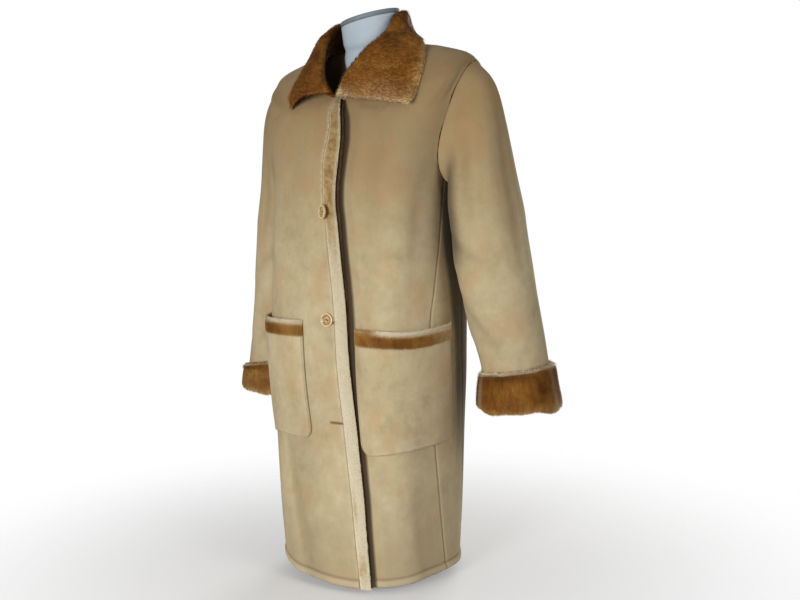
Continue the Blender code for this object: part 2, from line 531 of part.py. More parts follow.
def make_collar():
    """Stand, roll and leaf carried round the neckline as one profile."""
    neck_angle = collar_angles()
    station = np.sign(neck_angle) * (180.0 - np.abs(neck_angle)) / (180.0 - COLLAR_END_DEG)
    values = smooth_rows(COLLAR[:, 0], COLLAR[:, 1:], station)
    roll_line, edge_line, bow = values[:, 0:3], values[:, 3:6], values[:, 6:7]
    lift = np.array([0.0, 0.0, HEM_Z])
    roll_line, edge_line = roll_line + lift, edge_line + lift
    drop = np.where(neck_angle > 0, lap_drop(neck_angle, np.full(neck_angle.shape, NECK_ROW)), 0.0)
    drop = np.where(np.abs(neck_angle) < TRIM_TOP_DEG, EDGE_TRIM_PROUD, drop)
    neck_row = np.full(neck_angle.shape, NECK_ROW)
    per_row = np.linalg.norm(body_surface(neck_angle, neck_row) - body_surface(neck_angle, neck_row - 0.2),
                             axis=-1) / 0.2
    foot = np.stack([body_point(neck_angle, neck_row - COLLAR_FOOT / per_row, drop + REST),
                     body_point(neck_angle, neck_row, drop + REST)])
    base = foot.mean(axis=0)
    up = unit(roll_line - base)
    out = edge_line - roll_line
    out = unit(out - up * np.einsum("ij,ij->i", out, up)[:, None])
    roll_radius = (ROLL_RADIUS_BACK + (ROLL_RADIUS_FRONT - ROLL_RADIUS_BACK)
                   * ease(0.5, 0.9, np.abs(station)))[:, None]
    low_roll = roll_line - up * roll_radius
    middle = low_roll + out * roll_radius
    fall = unit(edge_line - middle)
    turn = np.arctan2(np.einsum("ij,ij->i", fall, out), np.einsum("ij,ij->i", fall, up))[:, None]
    grid = [base, 0.5 * (base + low_roll), low_roll]
    for share in (0.25, 0.5, 0.75, 1.0):
        grid.append(middle + roll_radius * (up * np.sin(turn * share) - out * np.cos(turn * share)))
    start = grid[-1]
    side = unit(np.cross(np.cross(fall, up), fall))
    control = 0.5 * (start + edge_line) + side * bow * 2
    for share in (0.25, 0.5, 0.75, 1.0):
        grid.append((1 - share) ** 2 * start + 2 * share * (1 - share) * control + share ** 2 * edge_line)
    grid = np.array(grid)
    grid[5:] = clear_of_body(grid[5:], 0.5 * PILE + COLLAR_REST)
    normal = unit(np.cross(np.gradient(grid, axis=1), np.gradient(grid, axis=0)))
    half = 0.5 * PILE * np.array([0.6, 0.9, 1, 1, 1, 1, 1, 1, 1, 1, 0.75])[:, None, None]
    faces = [grid + normal * half, grid - normal * half]
    outer_first = np.linalg.norm(faces[0][0] - foot[0]) < np.linalg.norm(faces[1][0] - foot[0])
    outer, inner = faces if outer_first else faces[::-1]
    outer[0], inner[0] = foot
    wall("collar", outer, inner, "pile")


# ------------------------------------------------- pockets, buttons and their trim

def on_lap_crease(side, angles, rows):
    """The pocket's columns, with the second one on the crease where the left front's slope ends."""
    placed = np.array(angles)
    if side > 0:
        placed[:, 1] = closing_edge(rows[:, 1]) + LAP_SLOPE_DEG
    return placed


def make_pocket(name, row):
    side, in_top, out_top, in_low, out_low, top_in, top_out, low_in, low_out = row
    across = np.concatenate([[0.0], np.linspace(POCKET_EASE, 1 - POCKET_EASE, 9), [1.0]])[None, :]
    upwards = np.array([0, 0.08, 0.3, 0.55, 0.78, 1.0])[:, None]
    top = top_in + (top_out - top_in) * across - BAND_ROWS
    low = low_in + (low_out - low_in) * across
    inner_edge = in_low + (in_top - in_low) * upwards
    outer_edge = out_low + (out_top - out_low) * upwards
    rows = low + (top - low) * upwards
    angles = on_lap_crease(side, inner_edge + (outer_edge - inner_edge) * across, rows)
    open_sides = np.minimum(ease(0, POCKET_EASE, across), ease(0, POCKET_EASE, 1 - across))
    room = REST + (POCKET_ROOM - REST) * open_sides * ease(0, 0.75, upwards)
    drop = lap_drop(angles, rows) if side > 0 else np.zeros(angles.shape)
    wall(name, body_point(side * angles, rows, drop + room + POCKET_WALL),
         body_point(side * angles, rows, drop + room), "suede")

    # Pile band along the mouth, standing on the pocket's top edge.
    upwards = np.array([0, 0.25, 0.75, 1.0])[:, None]
    gap = SEAM / 0.135
    rows = top + gap + (BAND_ROWS - gap) * upwards
    angles = on_lap_crease(side, np.broadcast_to(in_top + (out_top - in_top) * across, rows.shape), rows)
    room = REST + (POCKET_ROOM - REST) * np.broadcast_to(open_sides, rows.shape)
    drop = lap_drop(angles, rows) if side > 0 else np.zeros(angles.shape)
    proud = POCKET_WALL + BAND_PROUD * np.array([0.35, 1.0, 1.0, 0.2])[:, None]
    wall(name + "_band", body_point(side * angles, rows, drop + room + proud),
         body_point(side * angles, rows, drop + room), "pile")


def make_button(name, row, angle, turned, lift):
    """Dished disc with a rounded rim, lying on the right front or turned in its hole."""
    profile = np.array([            # share of the radius, share of the thickness
        (0.90, 0.0), (1.0, 0.3), (1.0, 0.7), (0.92, 1.0), (0.80, 1.0), (0.68, 0.62), (0.3, 0.5)])
    spin = np.radians(np.linspace(0, 360, 20, endpoint=False))
    seat = body_point(angle, row)
    normal = unit(body_point(angle, row, MM) - seat)
    upwards = unit(np.array([0.0, 0.0, 1.0]) - normal * normal[2])
    sideways = np.cross(upwards, normal)
    tip = math.radians(turned)
    face = normal * math.cos(tip) + sideways * math.sin(tip)
    right = sideways * math.cos(tip) - normal * math.sin(tip)
    centre = seat + normal * (lift + BUTTON_RADIUS * abs(math.sin(tip)))
    loops = [centre + BUTTON_RADIUS * radius * (np.outer(np.cos(spin), right) + np.outer(np.sin(spin), upwards))
             + face * BUTTON_THICKNESS * height for radius, height in profile]
    stack_solid(name, np.array(loops), "button")


# -------------------------------------------------------------------- dress form

def make_form():
    angles = np.linspace(0, 360, 24, endpoint=False)
    signed = np.abs((angles + 180) % 360 - 180)
    front = FORM_FRONT_EASE * (1 - ease(45.0, 85.0, signed))
    seat = [body_point(angles, np.full(24, row), -CLOTH - FORM_SEAT_GAP - front) for row in FORM_SEAT_ROWS]
    lower = [ring_point(ring, angles) for ring in FORM_RINGS[::-1]]
    spin = np.radians(angles)
    cap_axis = unit(np.array(NECK_SLANT))
    neck = []
    for share in (0.0, 0.45, 1.0):
        centre = np.array(NECK_BASE) + share * (np.array(NECK_TOP) - np.array(NECK_BASE))
        radius = NECK_RADIUS + share * (NECK_TOP_RADIUS - NECK_RADIUS)
        axis = unit(unit(np.array(NECK_BASE_SLANT)) * (1 - share) + cap_axis * share)
        sideways = unit(np.cross([0.0, 1.0, 0.0], axis))
        forward = np.cross(sideways, axis)
        neck.append(centre + np.array([0, 0, HEM_Z]) + radius
                    * (np.outer(np.sin(spin), sideways) + np.outer(np.cos(spin), forward)))
    stack_solid("dress_form", np.array(lower + seat + neck), "form")

    top = neck[-1]
    middle = top.mean(axis=0)
    loops = [top + cap_axis * SEAM, top + cap_axis * (NECK_CAP_HEIGHT - 1.5 * MM),
             middle + (top - middle) * 0.96 + cap_axis * NECK_CAP_HEIGHT]
    stack_solid("form_neck_cap", np.array(loops), "metal")

    bottom = FORM_RINGS[-1, 0] + HEM_Z
    round_rod = np.stack([np.cos(spin), np.sin(spin), 0 * spin], axis=-1)
    levels = [(FOOT_HEIGHT + SEAM, POLE_RADIUS), (bottom - SEAM, POLE_RADIUS)]
    stack_solid("form_pole", np.array([round_rod * radius + [0, 0, z] for z, radius in levels]), "metal")
    rim = [(0.0, FOOT_RADIUS - 1.5 * MM), (1.5 * MM, FOOT_RADIUS), (FOOT_HEIGHT - 4 * MM, FOOT_RADIUS),
           (FOOT_HEIGHT, FOOT_RADIUS - 8 * MM)]
    stack_solid("form_foot", np.array([round_rod * radius + [0, 0, z] for z, radius in rim]), "metal")


def main():
    for old in list(bpy.data.objects):
        bpy.data.objects.remove(old)
    make_fronts()
    make_sides_and_back()
    for name in SIDE_SIGN:
        make_sleeve(name)
    make_collar()
    for name, row in POCKETS.items():
        make_pocket(name, row)
    for name, place in BUTTONS.items():
        make_button(name, *place)
    make_form()


main()
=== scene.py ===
"""Looks of the faux shearling coat on its limbless dress form.

Metres, +Z up, the coat faces -Y and the wearer's left is +X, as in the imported
model.  Every cloth piece is worked out on a fine grid from the same surfaces
as its solid: the body (rings from the hem to the neckline), the sleeve
(sections from the armhole to the cuff) and the collar (a profile carried
round the neckline).  Pile is a thin skin under short blades.
"""
import math

import bpy
import numpy as np
from mathutils import Matrix


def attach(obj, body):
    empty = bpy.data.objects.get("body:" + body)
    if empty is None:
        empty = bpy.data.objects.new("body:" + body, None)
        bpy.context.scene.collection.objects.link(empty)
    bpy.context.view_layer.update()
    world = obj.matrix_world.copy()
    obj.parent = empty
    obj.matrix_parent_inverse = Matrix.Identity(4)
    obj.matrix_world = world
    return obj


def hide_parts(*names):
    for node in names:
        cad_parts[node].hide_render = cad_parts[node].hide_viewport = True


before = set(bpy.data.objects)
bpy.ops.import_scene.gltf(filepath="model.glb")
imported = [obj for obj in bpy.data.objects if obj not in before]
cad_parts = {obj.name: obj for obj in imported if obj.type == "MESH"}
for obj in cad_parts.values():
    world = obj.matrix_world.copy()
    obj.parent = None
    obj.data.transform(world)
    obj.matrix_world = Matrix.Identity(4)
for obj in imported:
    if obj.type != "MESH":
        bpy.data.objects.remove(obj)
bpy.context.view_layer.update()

MM = 0.001
UPRIGHT = np.array([0.0, 0.0, 1.0])
random = np.random.default_rng(27)

# ------------------------------------------------------------ the coat's own sizes

SEAM = 0.3 * MM
REST = 0.95 * MM
CLOTH = 5.0 * MM
PILE = 9.0 * MM
HEM_Z = 14.0 * MM
HEM_ROLL = 2.0 * MM
HEM_ROLL_TOP = 0.12
HEM_GROOVE = 1.04 * HEM_ROLL_TOP

BODY_RINGS = np.array([
    # front_z, side_z, back_z, half_width, front_depth, back_depth, square, turn_deg,
    # side_x, side_y, lean
    (-0.001, 0.020, 0.012, 0.181, 0.180, 0.148, 0.020, 20.0, -0.0045, 0.000, 0.014),
    (0.139, 0.149, 0.145, 0.186, 0.178, 0.150, 0.035, 12.5, -0.0045, 0.000, 0.007),
    (0.280, 0.283, 0.281, 0.1905, 0.176, 0.151, 0.040, 6.5, -0.0045, 0.000, 0.002),
    (0.420, 0.420, 0.420, 0.1945, 0.173, 0.151, 0.050, 2.5, -0.0045, 0.000, 0.000),
    (0.550, 0.550, 0.550, 0.194, 0.169, 0.150, 0.055, 1.0, -0.003, 0.000, 0.000),
    (0.670, 0.670, 0.670, 0.189, 0.167, 0.147, 0.055, 0.0, 0.000, 0.000, 0.000),
    (0.770, 0.780, 0.780, 0.189, 0.166, 0.142, 0.050, 0.0, 0.002, 0.003, 0.000),
    (0.830, 0.865, 0.875, 0.205, 0.166, 0.133, 0.045, 0.0, 0.005, 0.010, 0.000),
    (0.875, 0.945, 0.950, 0.225, 0.164, 0.119, 0.040, 0.0, 0.009, 0.018, -0.002),
    (0.910, 1.012, 1.000, 0.233, 0.156, 0.104, 0.030, 0.0, 0.010, 0.022, -0.004),
    (0.938, 1.044, 1.030, 0.163, 0.136, 0.092, 0.015, 0.0, 0.006, 0.016, -0.004),
    (0.955, 1.060, 1.050, 0.088, 0.114, 0.078, 0.000, 0.0, 0.000, 0.010, 0.000),
])
NECK_ROW = 11.0
SHOULDER_ROW = 9.0
METRES_PER_DEGREE = 0.0032
METRES_PER_ROW = 0.115

CLOSING_EDGE = np.array([
    # ring row, angle
    (0.0, 8.7), (0.7, 10.8), (1.4, 12.9), (2.1, 13.6), (3.3, 11.9),
    (4.0, 11.0), (5.3, 7.6), (5.8, 6.0), (6.8, 5.8), (8.3, 3.8), (9.4, 2.0), (11.0, 2.5)])
SIDE_FRONT_SEAM = np.array([
    (0.0, 65.0), (1.6, 66.0), (3.0, 66.0), (3.7, 67.0), (4.3, 72.0), (5.0, 78.0), (6.1, 81.0)])
SIDE_SEAM_DEG = 101.0
ARMHOLE = np.array([
    # ring row, front angle, back angle
    (6.1, 81.0, 101.0), (6.35, 74.5, 106.0), (6.8, 69.0, 110.0), (7.4, 66.5, 112.5),
    (8.05, 67.0, 111.0), (8.55, 72.0, 106.0), (8.88, 80.0, 98.0), (9.0, 89.0, 91.0)])
ARMHOLE_ROWS = np.array([6.1, 6.35, 6.8, 7.4, 8.0, 8.45, 8.8, 9.0])
ARMHOLE_FLOOR_ROW = 6.0
SHOULDER_SEAM_DEG = 90.0

LAP_DEG = 20.0
LAP_DROP_TOP, LAP_DROP_HEM = 16.0 * MM, 10.0 * MM
LAP_SLOPE_DEG = 10.0
EDGE_TRIM_DEG = np.array([
    # ring row, width of the pile edging in degrees
    (0.0, 6.3), (2.0, 7.0), (4.0, 6.2), (5.5, 6.4), (6.9, 7.7), (8.7, 4.9), (11.0, 6.0)])
EDGE_TRIM_PROUD = 2.0 * MM
TRIM_TOP_DEG = 4.5
EDGE_RADIUS = 0.16

SLEEVE_SECTIONS = np.array([
    # x, y, z, half_out, half_front, tilt_deg
    (0.2615, 0.0165, 0.720, 0.0680, 0.0950, 12.0),
    (0.2675, 0.0160, 0.660, 0.0680, 0.0920, 10.0),
    (0.2780, 0.0180, 0.595, 0.0700, 0.0840, 10.0),
    (0.2920, 0.0220, 0.520, 0.0700, 0.0740, 9.0),
    (0.3130, 0.0240, 0.430, 0.0655, 0.0660, 5.0),
    (0.3215, 0.0250, 0.352, 0.0735, 0.0700, 2.0),
])
SLEEVE_SHIFT = {
    # inwards at the end, backwards, down, front edge drawn back at the top
    "left": (0.0, 0.0, 0.0, 0.0), "right": (0.013, 0.042, 0.0155, 0.014)}
SLEEVE_PER_DEGREE = 0.0013
SLEEVE_LENGTH = 0.62
SIDE_SIGN = {"left": 1, "right": -1}
CUFF_FOLD_DEPTH = 0.083
CUFF_TOP_ROW = {"left": 4.06, "right": 4.30}
CAP_ROWS = 6
CAP_START_REACH, CAP_END_REACH = 0.30, 0.48

COLLAR = np.array([
    # station, roll_x, roll_y, roll_z, edge_x, edge_y, edge_z, bow
    (-1.00, -0.004, -0.130, 0.962, -0.103, -0.122, 0.934, 0.022),
    (-0.90, -0.023, -0.117, 0.990, -0.119, -0.097, 0.958, 0.018),
    (-0.75, -0.045, -0.085, 1.034, -0.118, -0.049, 1.018, 0.012),
    (-0.60, -0.062, -0.045, 1.076, -0.115, -0.008, 1.056, 0.010),
    (-0.45, -0.069, 0.008, 1.108, -0.106, 0.044, 1.074, 0.006),
    (-0.25, -0.049, 0.064, 1.116, -0.074, 0.102, 1.068, 0.002),
    (0.00, 0.000, 0.092, 1.114, 0.000, 0.128, 1.062, 0.000),
    (0.25, 0.050, 0.062, 1.116, 0.072, 0.096, 1.066, -0.004),
    (0.45, 0.0715, 0.010, 1.119, 0.106, 0.034, 1.068, -0.006),
    (0.60, 0.072, -0.040, 1.082, 0.147, -0.022, 1.052, 0.002),
    (0.75, 0.046, -0.090, 1.034, 0.172, -0.074, 0.991, 0.008),
    (0.90, 0.023, -0.125, 0.986, 0.176, -0.112, 0.948, 0.009),
    (1.00, 0.012, -0.134, 0.953, 0.171, -0.131, 0.930, 0.003),
])
COLLAR_END_DEG = 2.5
ROLL_RADIUS_FRONT, ROLL_RADIUS_BACK = 9.0 * MM, 6.0 * MM
COLLAR_FOOT = 6.0 * MM
COLLAR_REST = 1.5 * MM
COLLAR_LENGTH = 0.62
METRES_PER_STATION, METRES_PER_WAY = 0.52, 0.06

POCKETS = {
    # side, inner_top, outer_top, inner_bottom, outer_bottom,
    # top_inner, top_outer, bottom_inner, bottom_outer
    "left_pocket": (1, 15.7, 84.0, 15.0, 83.0, 3.60, 3.66, 1.87, 1.97),
    "right_pocket": (-1, 13.5, 83.5, 13.0, 82.5, 3.74, 3.74, 2.04, 2.00),
}
BAND_ROWS = 0.225
BAND_METRES_PER_ROW = 0.135
POCKET_WIDTH, POCKET_HEIGHT = 0.225, 0.21
POCKET_WALL = 3.5 * MM
POCKET_ROOM = 7.5 * MM
POCKET_EASE = 0.075
BAND_PROUD = 4.0 * MM

BUTTON_RADIUS, BUTTON_THICKNESS = 14.0 * MM, 4.2 * MM
BUTTONS = {
    # ring row, angle, turned in its hole, lift off the cloth
    "upper_button": (5.56, 0.8, -30.0, -0.5 * MM),
    "lower_button": (3.78, 1.2, 0.0, SEAM),
}

FORM_RINGS = np.array([
    (0.915, 1.000, 0.985, 0.188, 0.115, 0.080, 0.0, 0.0, 0.005, 0.018, 0.0),
    (0.880, 0.965, 0.955, 0.186, 0.124, 0.090, 0.0, 0.0, 0.004, 0.014, 0.0),
    (0.820, 0.890, 0.885, 0.165, 0.124, 0.098, 0.0, 0.0, 0.002, 0.006, 0.0),
    (0.740, 0.790, 0.790, 0.150, 0.112, 0.098, 0.0, 0.0, 0.000, 0.000, 0.0),
    (0.640, 0.650, 0.650, 0.128, 0.095, 0.088, 0.0, 0.0, 0.000, 0.000, 0.0),
    (0.540, 0.540, 0.540, 0.146, 0.108, 0.108, 0.0, 0.0, 0.000, 0.000, 0.0),
    (0.460, 0.460, 0.460, 0.158, 0.116, 0.118, 0.0, 0.0, 0.000, 0.000, 0.0),
    (0.430, 0.430, 0.430, 0.154, 0.112, 0.114, 0.0, 0.0, 0.000, 0.000, 0.0),
])
FORM_SEAT_ROWS = (10.1, 10.4, 10.7, 11.0)
FORM_SEAT_GAP = 1.6 * MM
FORM_FRONT_EASE = 34.0 * MM
NECK_RADIUS, NECK_TOP_RADIUS = 0.0560, 0.0620
NECK_BASE = (0.002, 0.012, 1.060)
NECK_TOP = (0.006, 0.008, 1.112)
NECK_SLANT = (-0.17, -0.14, 0.975)
NECK_BASE_SLANT = (0.0, -0.50, 0.866)
NECK_CAP_HEIGHT = 10.0 * MM
POLE_RADIUS = 0.0125
FOOT_RADIUS, FOOT_HEIGHT = 0.125, 11.0 * MM

# Soft troughs and ridges in the body's cloth, each a line on the body from one
# ring row and angle to another.
BODY_CREASES = [
    # angle, row, end_angle, end_row, half_width_m, depth_mm
    (-34.0, 2.2, -31.0, -0.3, 0.012, -2.6),
    (-43.0, 2.0, -41.0, -0.3, 0.020, 2.2),
    (-22.0, 1.6, -18.0, -0.3, 0.022, 1.6),
    (-62.0, 7.9, -45.0, 9.0, 0.007, -1.6),
    (-66.0, 7.4, -48.0, 8.7, 0.008, 1.5),
    (14.0, 9.6, 24.0, 8.9, 0.007, -1.5),
    (34.0, 9.5, 24.0, 8.9, 0.007, -1.3),
    (40.0, 8.3, 46.0, 4.2, 0.026, 2.0),
    (62.0, 6.4, 52.0, 4.0, 0.020, -2.4),
    (30.0, 8.4, 26.0, 4.4, 0.024, -1.2),
    (-40.0, 8.0, -34.0, 4.4, 0.026, 1.8),
    (-54.0, 6.8, -50.0, 4.4, 0.018, -1.8),
    (-20.0, 8.2, -18.0, 4.2, 0.022, -1.0),
    (50.0, 1.6, 48.0, -0.3, 0.022, -1.8),
    (34.0, 1.7, 33.0, -0.3, 0.026, 1.8),
    (78.0, 3.4, 74.0, -0.3, 0.020, -1.8),
    (-80.0, 3.2, -78.0, -0.3, 0.020, -2.0),
    (150.0, 6.8, 142.0, 0.0, 0.022, -3.0),
    (166.0, 5.6, 163.0, -0.3, 0.024, 2.4),
    (187.0, 6.2, 192.0, -0.3, 0.022, -2.6),
    (208.0, 5.0, 214.0, -0.3, 0.024, 2.4),
    (222.0, 6.8, 232.0, 0.0, 0.022, -2.8),
    (130.0, 8.6, 150.0, 7.4, 0.014, -1.6),
    (232.0, 8.7, 212.0, 7.5, 0.014, -1.6),
    (150.0, 9.6, 206.0, 9.5, 0.012, -1.0),
    (70.0, 9.05, 118.0, 9.0, 0.024, -8.0),
    (78.0, 9.32, 122.0, 9.22, 0.018, -4.0),
    (-40.0, 9.2, -94.0, 9.0, 0.026, -6.0),
    (74.0, 8.9, 62.0, 8.1, 0.010, -2.0),
    (60.0, 8.9, 52.0, 8.3, 0.012, 1.4),
    (-26.0, 9.0, -34.0, 8.3, 0.006, 1.5),
    (-31.0, 9.1, -40.0, 8.4, 0.006, -1.4),
]

# The same for the sleeves, with the angle round the sleeve (0 outwards, 90 to
# the front) and the distance down from the shoulder as a share.
SLEEVE_CREASES = [
    # angle, share, end_angle, end_share, half_width_m, depth_mm
    (150.0, 0.42, 60.0, 0.60, 0.014, -2.6),
    (160.0, 0.50, 80.0, 0.68, 0.014, 2.0),
    (150.0, 0.66, 80.0, 0.84, 0.010, -2.4),
    (175.0, 0.72, 100.0, 0.88, 0.010, 1.6),
    (20.0, 0.80, 70.0, 0.90, 0.009, -1.2),
    (44.0, 0.12, 40.0, 0.62, 0.015, 2.4),
    (84.0, 0.10, 82.0, 0.44, 0.013, -2.4),
    (14.0, 0.12, 10.0, 0.58, 0.012, -2.4),
    (200.0, 0.52, 290.0, 0.66, 0.013, -3.0),
    (205.0, 0.60, 300.0, 0.52, 0.012, -2.0),
    (210.0, 0.72, 300.0, 0.80, 0.013, 2.2),
    (330.0, 0.45, 320.0, 0.66, 0.024, 1.6),
]


# ------------------------------------------------------------------ plain arithmetic

def smooth_rows(stops, rows, at):
    """Monotone cubic curve through rows of values, one row for each stop."""
    stops, rows = np.asarray(stops, float), np.asarray(rows, float)
    at = np.clip(np.asarray(at, float), stops[0], stops[-1])
    column = (-1,) + (1,) * (rows.ndim - 1)
    step = np.diff(stops)
    slope = np.diff(rows, axis=0) / step.reshape(column)
    tangent = np.zeros_like(rows)
    tangent[0], tangent[-1] = slope[0], slope[-1]
    before, after = slope[:-1], slope[1:]
    near = (2 * step[1:] + step[:-1]).reshape(column)
    far = (step[1:] + 2 * step[:-1]).reshape(column)
    same_sign = before * after > 0
    safe_before, safe_after = np.where(same_sign, before, 1.0), np.where(same_sign, after, 1.0)
    tangent[1:-1] = np.where(same_sign, (near + far) / (near / safe_before + far / safe_after), 0.0)
    cell = np.clip(np.searchsorted(stops, at, side="right") - 1, 0, len(stops) - 2)
    shape = at.shape + (1,) * (rows.ndim - 1)
    t = ((at - stops[cell]) / step[cell]).reshape(shape)
    width = step[cell].reshape(shape)
    return ((2 * t**3 - 3 * t**2 + 1) * rows[cell] + (t**3 - 2 * t**2 + t) * width * tangent[cell]
            + (3 * t**2 - 2 * t**3) * rows[cell + 1] + (t**3 - t**2) * width * tangent[cell + 1])


def table_curve(table, at):
    """Value of a two-column table at the given stops."""
    return smooth_rows(table[:, 0], table[:, 1], at)


def through(points, at, closed=False):
    """Soft curve through evenly counted points: a cubic whose slope at each point is half the
    step from the point before it to the point after it."""
    points = np.asarray(points, float)
    count = len(points)
    at = np.asarray(at, float)
    cell = np.floor(at).astype(int)
    if closed:
        picks = [(cell + shift) % count for shift in (-1, 0, 1, 2)]
    else:
        cell = np.clip(cell, 0, count - 2)
        points = np.concatenate([2 * points[:1] - points[1:2], points, 2 * points[-1:] - points[-2:-1]])
        picks = [cell + 1 + shift for shift in (-1, 0, 1, 2)]
    t = (at - cell).reshape((-1,) + (1,) * (points.ndim - 1))
    before, first, second, after = (points[pick] for pick in picks)
    return 0.5 * (2 * first + (second - before) * t + (2 * before - 5 * first + 4 * second - after) * t**2
                  + (3 * first - before - 3 * second + after) * t**3)


def ease(low, high, value):
    """0 below low, 1 above high, and a smooth step between."""
    t = np.clip((np.asarray(value, float) - low) / (high - low), 0.0, 1.0)
    return t * t * (3 - 2 * t)


def bell(value, middle, width):
    """1 at the middle, falling off softly on both sides."""
    return np.exp(-((value - middle) / width) ** 2)


def fade(low, high, value):
    """1 below low, 0 above high, and a smooth step between."""
    return 1 - ease(low, high, value)


def unit(vectors):
    """The same directions, one unit long."""
    return vectors / np.maximum(np.linalg.norm(vectors, axis=-1, keepdims=True), 1e-12)


def run_along(points, axis):
    """Distance along each of a grid's lines from its first point."""
    steps = np.linalg.norm(np.diff(points, axis=axis), axis=-1)
    return np.cumsum(np.insert(steps, 0, 0.0, axis=axis), axis=axis)


def to_ends(distances, axis):
    """Distance to the nearer end of each line."""
    return np.minimum(distances, np.take(distances, [-1], axis) - distances)


def round_over(distance, radius):
    """How far a quarter-round edge of this radius falls at each distance in from the edge."""
    t = np.clip(1 - distance / radius, 0.0, 1.0)
    return radius * (1 - np.sqrt(np.maximum(1 - t * t, 0.0)))


def crowded(count, edge=0.06, extra=4):
    """Stops from 0 to 1 that lie closer together near both ends."""
    middle = np.linspace(edge, 1 - edge, count)
    near = edge * np.linspace(0, 1, extra + 1)[:-1] ** 1.6
    return np.concatenate([near, middle, 1 - near[::-1]])


def line_field(across, along, table, across_scale, along_scale):
    """Sum of soft troughs and ridges: each falls off as a bell with the distance from its line."""
    total = np.zeros(np.broadcast(across, along).shape)
    for start, start_row, end, end_row, half_width, depth in table:
        line = np.array([(end - start) * across_scale, (end_row - start_row) * along_scale])
        x, y = (across - start) * across_scale, (along - start_row) * along_scale
        held = np.clip((x * line[0] + y * line[1]) / (line @ line), 0.0, 1.0)
        distance = np.hypot(x - held * line[0], y - held * line[1])
        total = total + depth * MM * bell(distance, 0.0, half_width) * (0.35 + 0.65 * np.sin(np.pi * held))
    return total


def grid_normals(grid):
    """Normals of a grid whose rows are closed rings."""
    across = np.roll(grid, -1, axis=1) - np.roll(grid, 1, axis=1)
    return unit(np.cross(across, np.gradient(grid, axis=0)))


# ------------------------------------------------------------------- the body surface

def ring_point(ring, angle_deg):
    """Point of a ring: a squared ellipse whose height runs from front to back by the side."""
    (front_z, side_z, back_z, half_width, front_depth, back_depth, square, turn,
     side_x, side_y, lean) = np.moveaxis(ring, -1, 0)
    angle = np.radians(np.asarray(angle_deg, float) + turn)
    across = (np.sin(angle) + square * np.sin(3 * angle)) / (1 - square)
    along = (np.cos(angle) - square * np.cos(3 * angle)) / (1 - square)
    to_front = np.cos(angle) > 0
    y = side_y - along * np.where(to_front, front_depth, back_depth)
    end_z = np.where(to_front, front_z, back_z)
    z = side_z + (end_z - side_z) * np.abs(np.cos(angle)) ** 1.7 - lean * np.sin(angle)
    return np.stack([side_x + half_width * across, y, z + HEM_Z], axis=-1)


def body_surface(angle_deg, row):
    """The coat's outer face, with no lap and no crease."""
    angle_deg, row = np.broadcast_arrays(np.asarray(angle_deg, float), np.asarray(row, float))
    return ring_point(smooth_rows(np.arange(len(BODY_RINGS)), BODY_RINGS, row), angle_deg)


def body_normal(angle_deg, row):
    """Outward normal of the plain body surface."""
    step = 0.02
    low, high = np.clip(row - step, 0, NECK_ROW), np.clip(row + step, 0, NECK_ROW)
    round_body = body_surface(angle_deg + step, row) - body_surface(angle_deg - step, row)
    upwards = body_surface(angle_deg, high) - body_surface(angle_deg, low)
    return unit(np.cross(round_body, upwards))


def plain_body(angle_deg, row, out=0.0):
    """A point of the body surface moved out along its normal, with no crease."""
    angle_deg, row = np.broadcast_arrays(np.asarray(angle_deg, float), np.asarray(row, float))
    return body_surface(angle_deg, row) + body_normal(angle_deg, row) * np.asarray(out, float)[..., None]


def crease_height(angle_deg, row):
    """How far the cloth stands out or sinks at each place of the body: the table's creases and
    a slow swell that grows towards the hem. It dies out towards the neckline."""
    wrapped = np.mod(np.asarray(angle_deg, float) + 110.0, 360.0) - 110.0
    radians = np.radians(wrapped)
    swell = (1.5 * np.sin(5 * radians + 0.8) + 1.0 * np.sin(9 * radians + 2.1)) * MM
    table = line_field(wrapped, row, BODY_CREASES, METRES_PER_DEGREE, METRES_PER_ROW)
    return (table + swell * fade(0.5, 5.0, row)) * fade(9.4, 10.2, row)


def coat_point(angle_deg, row, out=0.0):
    """A point of the creased cloth, moved out along the body's normal."""
    return plain_body(angle_deg, row, np.asarray(out, float) + crease_height(angle_deg, row))


def closing_edge(row):
    """Angle of the right front's closing edge."""
    return table_curve(CLOSING_EDGE, row)


def trim_seam(row):
    """Angle of the seam between the right front and its edging."""
    return closing_edge(row) - table_curve(EDGE_TRIM_DEG, row)


def lap_drop(angle_deg, row):
    """How far the left front lies under the right one near the closing edge."""
    edge = closing_edge(row)
    depth = LAP_DROP_HEM + (LAP_DROP_TOP - LAP_DROP_HEM) * ease(2.0, 6.0, row)
    return -depth * np.clip((edge + LAP_SLOPE_DEG - angle_deg) / (LAP_SLOPE_DEG + 1.0), 0.0, 1.0)


def hem_roll(row):
    """The turned hem stands proud and ends in a stitched groove."""
    belly = np.sin(np.pi * np.clip(row / HEM_ROLL_TOP, 0.0, 1.0)) ** 0.5
    return (HEM_ROLL + 0.9 * MM) * belly - 1.3 * MM * bell(row, HEM_GROOVE, 0.016)


def beside_seam(angle_deg, row, sign):
    """The angle of a seam, moved half a seam gap to the given side."""
    ahead, behind = body_surface(angle_deg + 0.5, row), body_surface(angle_deg - 0.5, row)
    return angle_deg + sign * 0.5 * SEAM / np.linalg.norm(ahead - behind, axis=-1)


def armhole_edge(row, column):
    """Angle of the armhole's front edge (column 1) or back edge (column 2)."""
    return smooth_rows(ARMHOLE[:, 0], ARMHOLE[:, column], row)


def outer_edge(row, seam, column, sign):
    """Outer boundary of a front or the back: its side seam, then the armhole, then the shoulder."""
    edge = np.where(row <= ARMHOLE[0, 0], seam, armhole_edge(row, column))
    return beside_seam(np.where(row > SHOULDER_ROW, SHOULDER_SEAM_DEG, edge), row, sign)


def front_outer_edge(row):
    """Angle of a front's boundary away from the closing edge."""
    return outer_edge(row, table_curve(SIDE_FRONT_SEAM, row), 1, -1)


# ------------------------------------------------------------------------ mesh making

